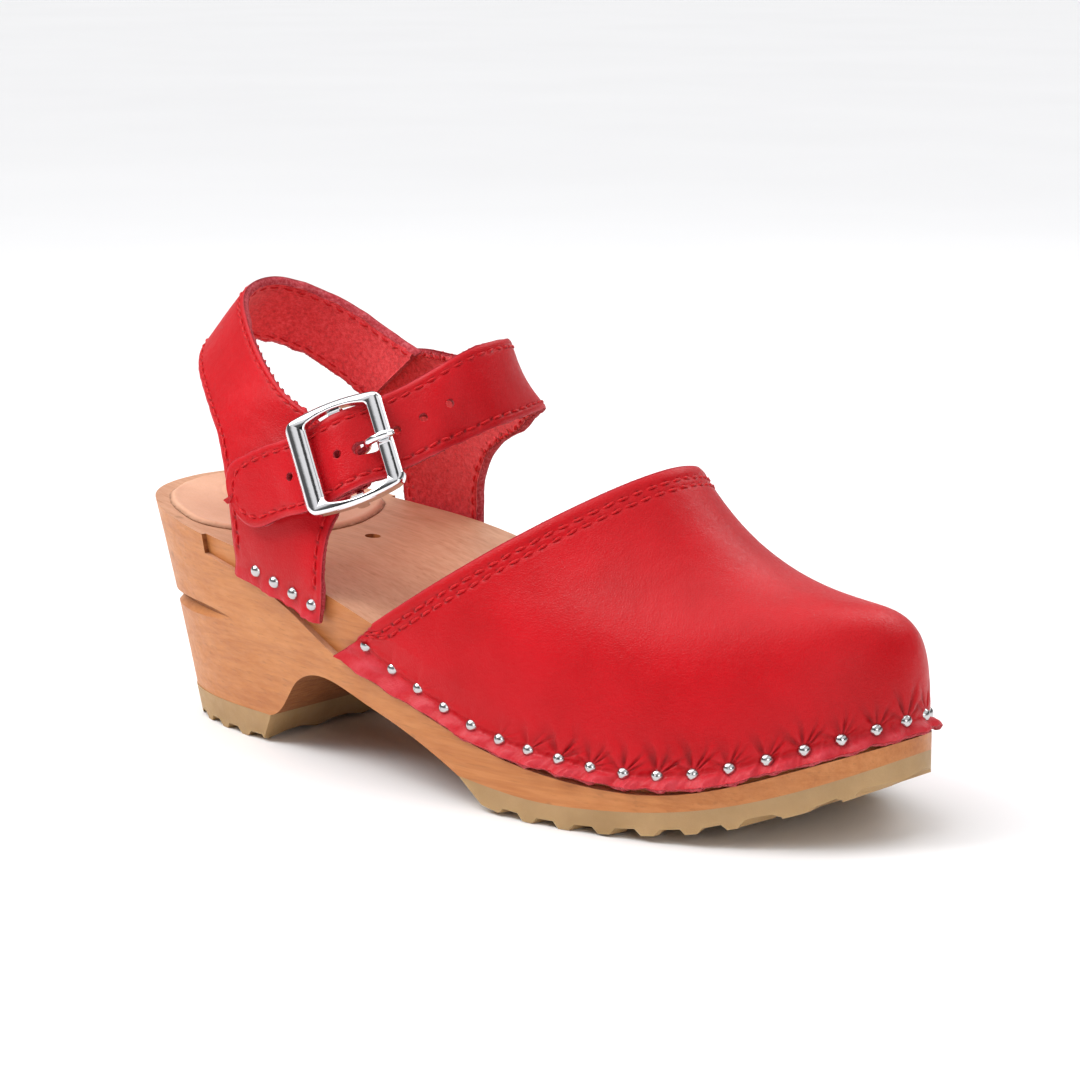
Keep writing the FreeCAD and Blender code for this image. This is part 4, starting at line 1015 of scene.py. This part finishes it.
def make_pad():
    """Thin leather sock on the footbed, with a turned-down edge and a pressed oval."""
    steps, rings = ((420, 70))
    centre = np.array(PAD_CENTRE)
    t = np.linspace(0, len(RIM), 3601)[:-1]
    point, out = outline(t)
    inset = point - out * (PAD_MARGIN - 0.2)
    angles = np.linspace(0, 2 * pi, steps, endpoint=False)
    bearing = np.mod(np.arctan2(inset[:, 1] - centre[1], inset[:, 0] - centre[0]), 2 * pi)
    order = np.argsort(bearing)
    far = norm(inset - centre, axis=1)
    reach = np.interp(angles, bearing[order], far[order], period=2 * pi)
    front_centre = np.array((PAD_FRONT - PAD_FRONT_RADIUS, PAD_FRONT_SIDE)) - centre
    direction = np.stack([np.cos(angles), np.sin(angles)], -1)
    b = (direction * front_centre).sum(-1)
    circle = b + np.sqrt(np.maximum(b * b - (front_centre ** 2).sum() + PAD_FRONT_RADIUS ** 2, 0))
    limit = 1 / (reach ** -14 + circle ** -14) ** (1 / 14)
    limit = limit + 0.15 * lattice(81, angles * 18, angles * 0)
    vertices, wear_and_highlight = [], []
    shares = 1 - (1 - np.linspace(0, 1, rings)) ** 1.7
    for share in shares:
        xy = centre + direction * (limit * share)[:, None]
        inner = limit * (1 - share)
        z = footbed(xy[:, 0], xy[:, 1]) + PAD_THICKNESS * (1 - 0.75 * bell(inner, 0.8))
        oval = np.hypot((xy[:, 0] - 27) / 12.5, (xy[:, 1] - 1) / 8.5)
        z -= 0.22 * bell(oval - 1, 0.05) + 0.16 * bell(oval - 0.8, 0.04)
        z += 0.12 * lattice(82, xy[:, 0] / 9 + 20, xy[:, 1] / 9 + 20)
        z += 0.18 * bell(inner - 1.6, 1.2)
        vertices.append(np.column_stack([xy, z]))
        # the turned-down edge is marked for the brown of wear
        wear_and_highlight.append(bell(inner, 0.55))
    for reached in [limit + 0.05] + [limit * share for share in PAD_UNDERSIDE]:
        xy = centre + direction * reached[:, None]
        vertices.append(np.column_stack([xy, footbed(xy[:, 0], xy[:, 1]) + 0.02]))
        wear_and_highlight.append(np.ones(steps))
    faces = []
    total = len(vertices)
    for r in range(total - 1):
        for k in range(steps):
            n = (k + 1) % steps
            faces.append((r * steps + k, (r + 1) * steps + k, (r + 1) * steps + n, r * steps + n))
    vertices, wear_and_highlight = to_frame(np.concatenate(vertices)), np.concatenate(wear_and_highlight)
    pad = new_object("heel_sock", vertices, faces, (PAD,), wear_and_highlight=wear_and_highlight)
    work = bmesh.new()
    work.from_mesh(pad.data)
    bmesh.ops.remove_doubles(work, verts=work.verts, dist=1e-7)
    work.to_mesh(pad.data)
    work.free()
    return pad


# ---- the whole ------------------------------------------------------------------------------
def outfit(piece, threads, body, slot_name, *nodes):
    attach(piece, body)
    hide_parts(*nodes)
    for thread in threads:
        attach(thread, body)


vamp, vamp_threads = make_vamp()
outfit(vamp, vamp_threads, "shoe", "red_leather", "vamp", "topline_facing", "toe_puff")
quarter, quarter_threads = make_band("outer_quarter_leather", OUTER_QUARTER, 1, 31)
outfit(quarter, quarter_threads, "shoe", "red_leather", "outer_quarter", "outer_quarter_lining")
strap_stations = INNER_QUARTER + strap_end()
strap, strap_threads = make_band("instep_strap_leather", strap_stations, -1, 51, rounded_end=9.0)
punched(strap, hole_tools(strap_stations))
outfit(strap, strap_threads, "shoe", "red_leather", "instep_strap", "instep_strap_lining")
outfit(make_tab(), [], "shoe", "red_leather", "buckle_tab")
outfit(make_pad(), [], "shoe", "pad_leather", "heel_pad")

for node, material in (("wooden_sole", WOOD), ("heel_top_piece", RUBBER), ("forefoot_outsole", RUBBER),
                       ("vamp_nails", STEEL), ("outer_quarter_nails", STEEL), ("inner_quarter_nails", STEEL),
                       ("buckle_frame", CHROME), ("buckle_tongue", TONGUE_CHROME)):
    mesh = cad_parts[node].data
    mesh.materials.clear()
    mesh.materials.append(material)

# ---- floor, light and camera ------------------------------------------------------------------
floor_shade = Shade("floor", Roughness=0.9)
floor_shade.colour(floor_shade.ramp(floor_shade.noise(3, 2), [(0.3, 0.89), (0.7, 0.91)]))
bpy.ops.mesh.primitive_plane_add(size=30, location=(0, 0, -0.00005))
floor = bpy.context.object
floor.name = "floor"
floor.data.materials.append(floor_shade.material)

# studio: bright overhead, a dark band low down and a dark upright card for the metal to mirror
world = bpy.data.worlds.new("studio")
scene.world = world
world.use_nodes = True
tree = world.node_tree
direction = tree.nodes.new("ShaderNodeTexCoord").outputs["Generated"]
split = tree.nodes.new("ShaderNodeSeparateXYZ")
tree.links.new(direction, split.inputs[0])
bands = tree.nodes.new("ShaderNodeValToRGB")
BANDS = [(0.0, 0.75), (0.10, 0.72), (0.20, 0.10), (0.46, 0.12), (0.56, 1.0), (1.0, 1.25)]
fill_ramp(bands.color_ramp, [(position, (level, level, level * 1.02)) for position, level in BANDS])
tree.links.new(split.outputs["Z"], bands.inputs["Fac"])
card = tree.nodes.new("ShaderNodeValToRGB")
CARD = [(0.0, 1.0), (0.20, 1.0), (0.25, 0.06), (0.37, 0.06), (0.42, 1.0)]
fill_ramp(card.color_ramp, CARD)
tree.links.new(split.outputs["X"], card.inputs["Fac"])
studio = tree.nodes.new("ShaderNodeMix")
studio.data_type = "RGBA"
studio.blend_type = "MULTIPLY"
studio.inputs[0].default_value = 1.0
tree.links.new(bands.outputs["Color"], studio.inputs[6])
tree.links.new(card.outputs["Color"], studio.inputs[7])
tree.links.new(studio.outputs[2], tree.nodes["Background"].inputs["Color"])
tree.nodes["Background"].inputs["Strength"].default_value = 0.85
scene.view_settings.view_transform = "Standard"


def area_light(name, place, target, size, power):
    data = bpy.data.lights.new(name, "AREA")
    data.shape = "RECTANGLE"
    data.size, data.size_y = size
    data.energy = power
    lamp = bpy.data.objects.new(name, data)
    scene.collection.objects.link(lamp)
    lamp.location = place
    lamp.rotation_euler = (Vector(target) - Vector(place)).to_track_quat("-Z", "Y").to_euler()


area_light("key_light", (-0.45, -0.5, 0.75), (0.02, 0, 0.05), (0.45, 0.45), 4.6)
area_light("fill_light", (0.95, -0.55, 0.4), (0.03, 0, 0.05), (0.5, 0.3), 2.0)
area_light("rim_light", (0.1, 0.8, 0.7), (0, 0, 0.05), (0.8, 0.4), 3.0)
sun = bpy.data.objects.new("top_light", bpy.data.lights.new("top_light", "SUN"))
sun.data.energy = 1.25
sun.data.angle = 1.2
sun.rotation_euler = (0.25, -0.3, 0)
scene.collection.objects.link(sun)

CAMERA_BACK = Vector((0.6384, -0.7396, 0.2130)).normalized()
CAMERA_RIGHT = Vector((0.757, 0.653, 0.0)).normalized()
CAMERA_PLACE = (663.9, -630.2, 221.5)
right = (CAMERA_RIGHT - CAMERA_BACK * CAMERA_RIGHT.dot(CAMERA_BACK)).normalized()
up = CAMERA_BACK.cross(right)
data = bpy.data.cameras.new("camera")
data.lens = 110
data.sensor_width = 36
data.shift_x = 0.024
data.shift_y = 0.064
camera = bpy.data.objects.new("camera", data)
scene.collection.objects.link(camera)
camera.matrix_world = Matrix.Translation(Vector(to_frame(CAMERA_PLACE))) @ Matrix(
    (right, up, CAMERA_BACK)).transposed().to_4x4()
scene.camera = camera
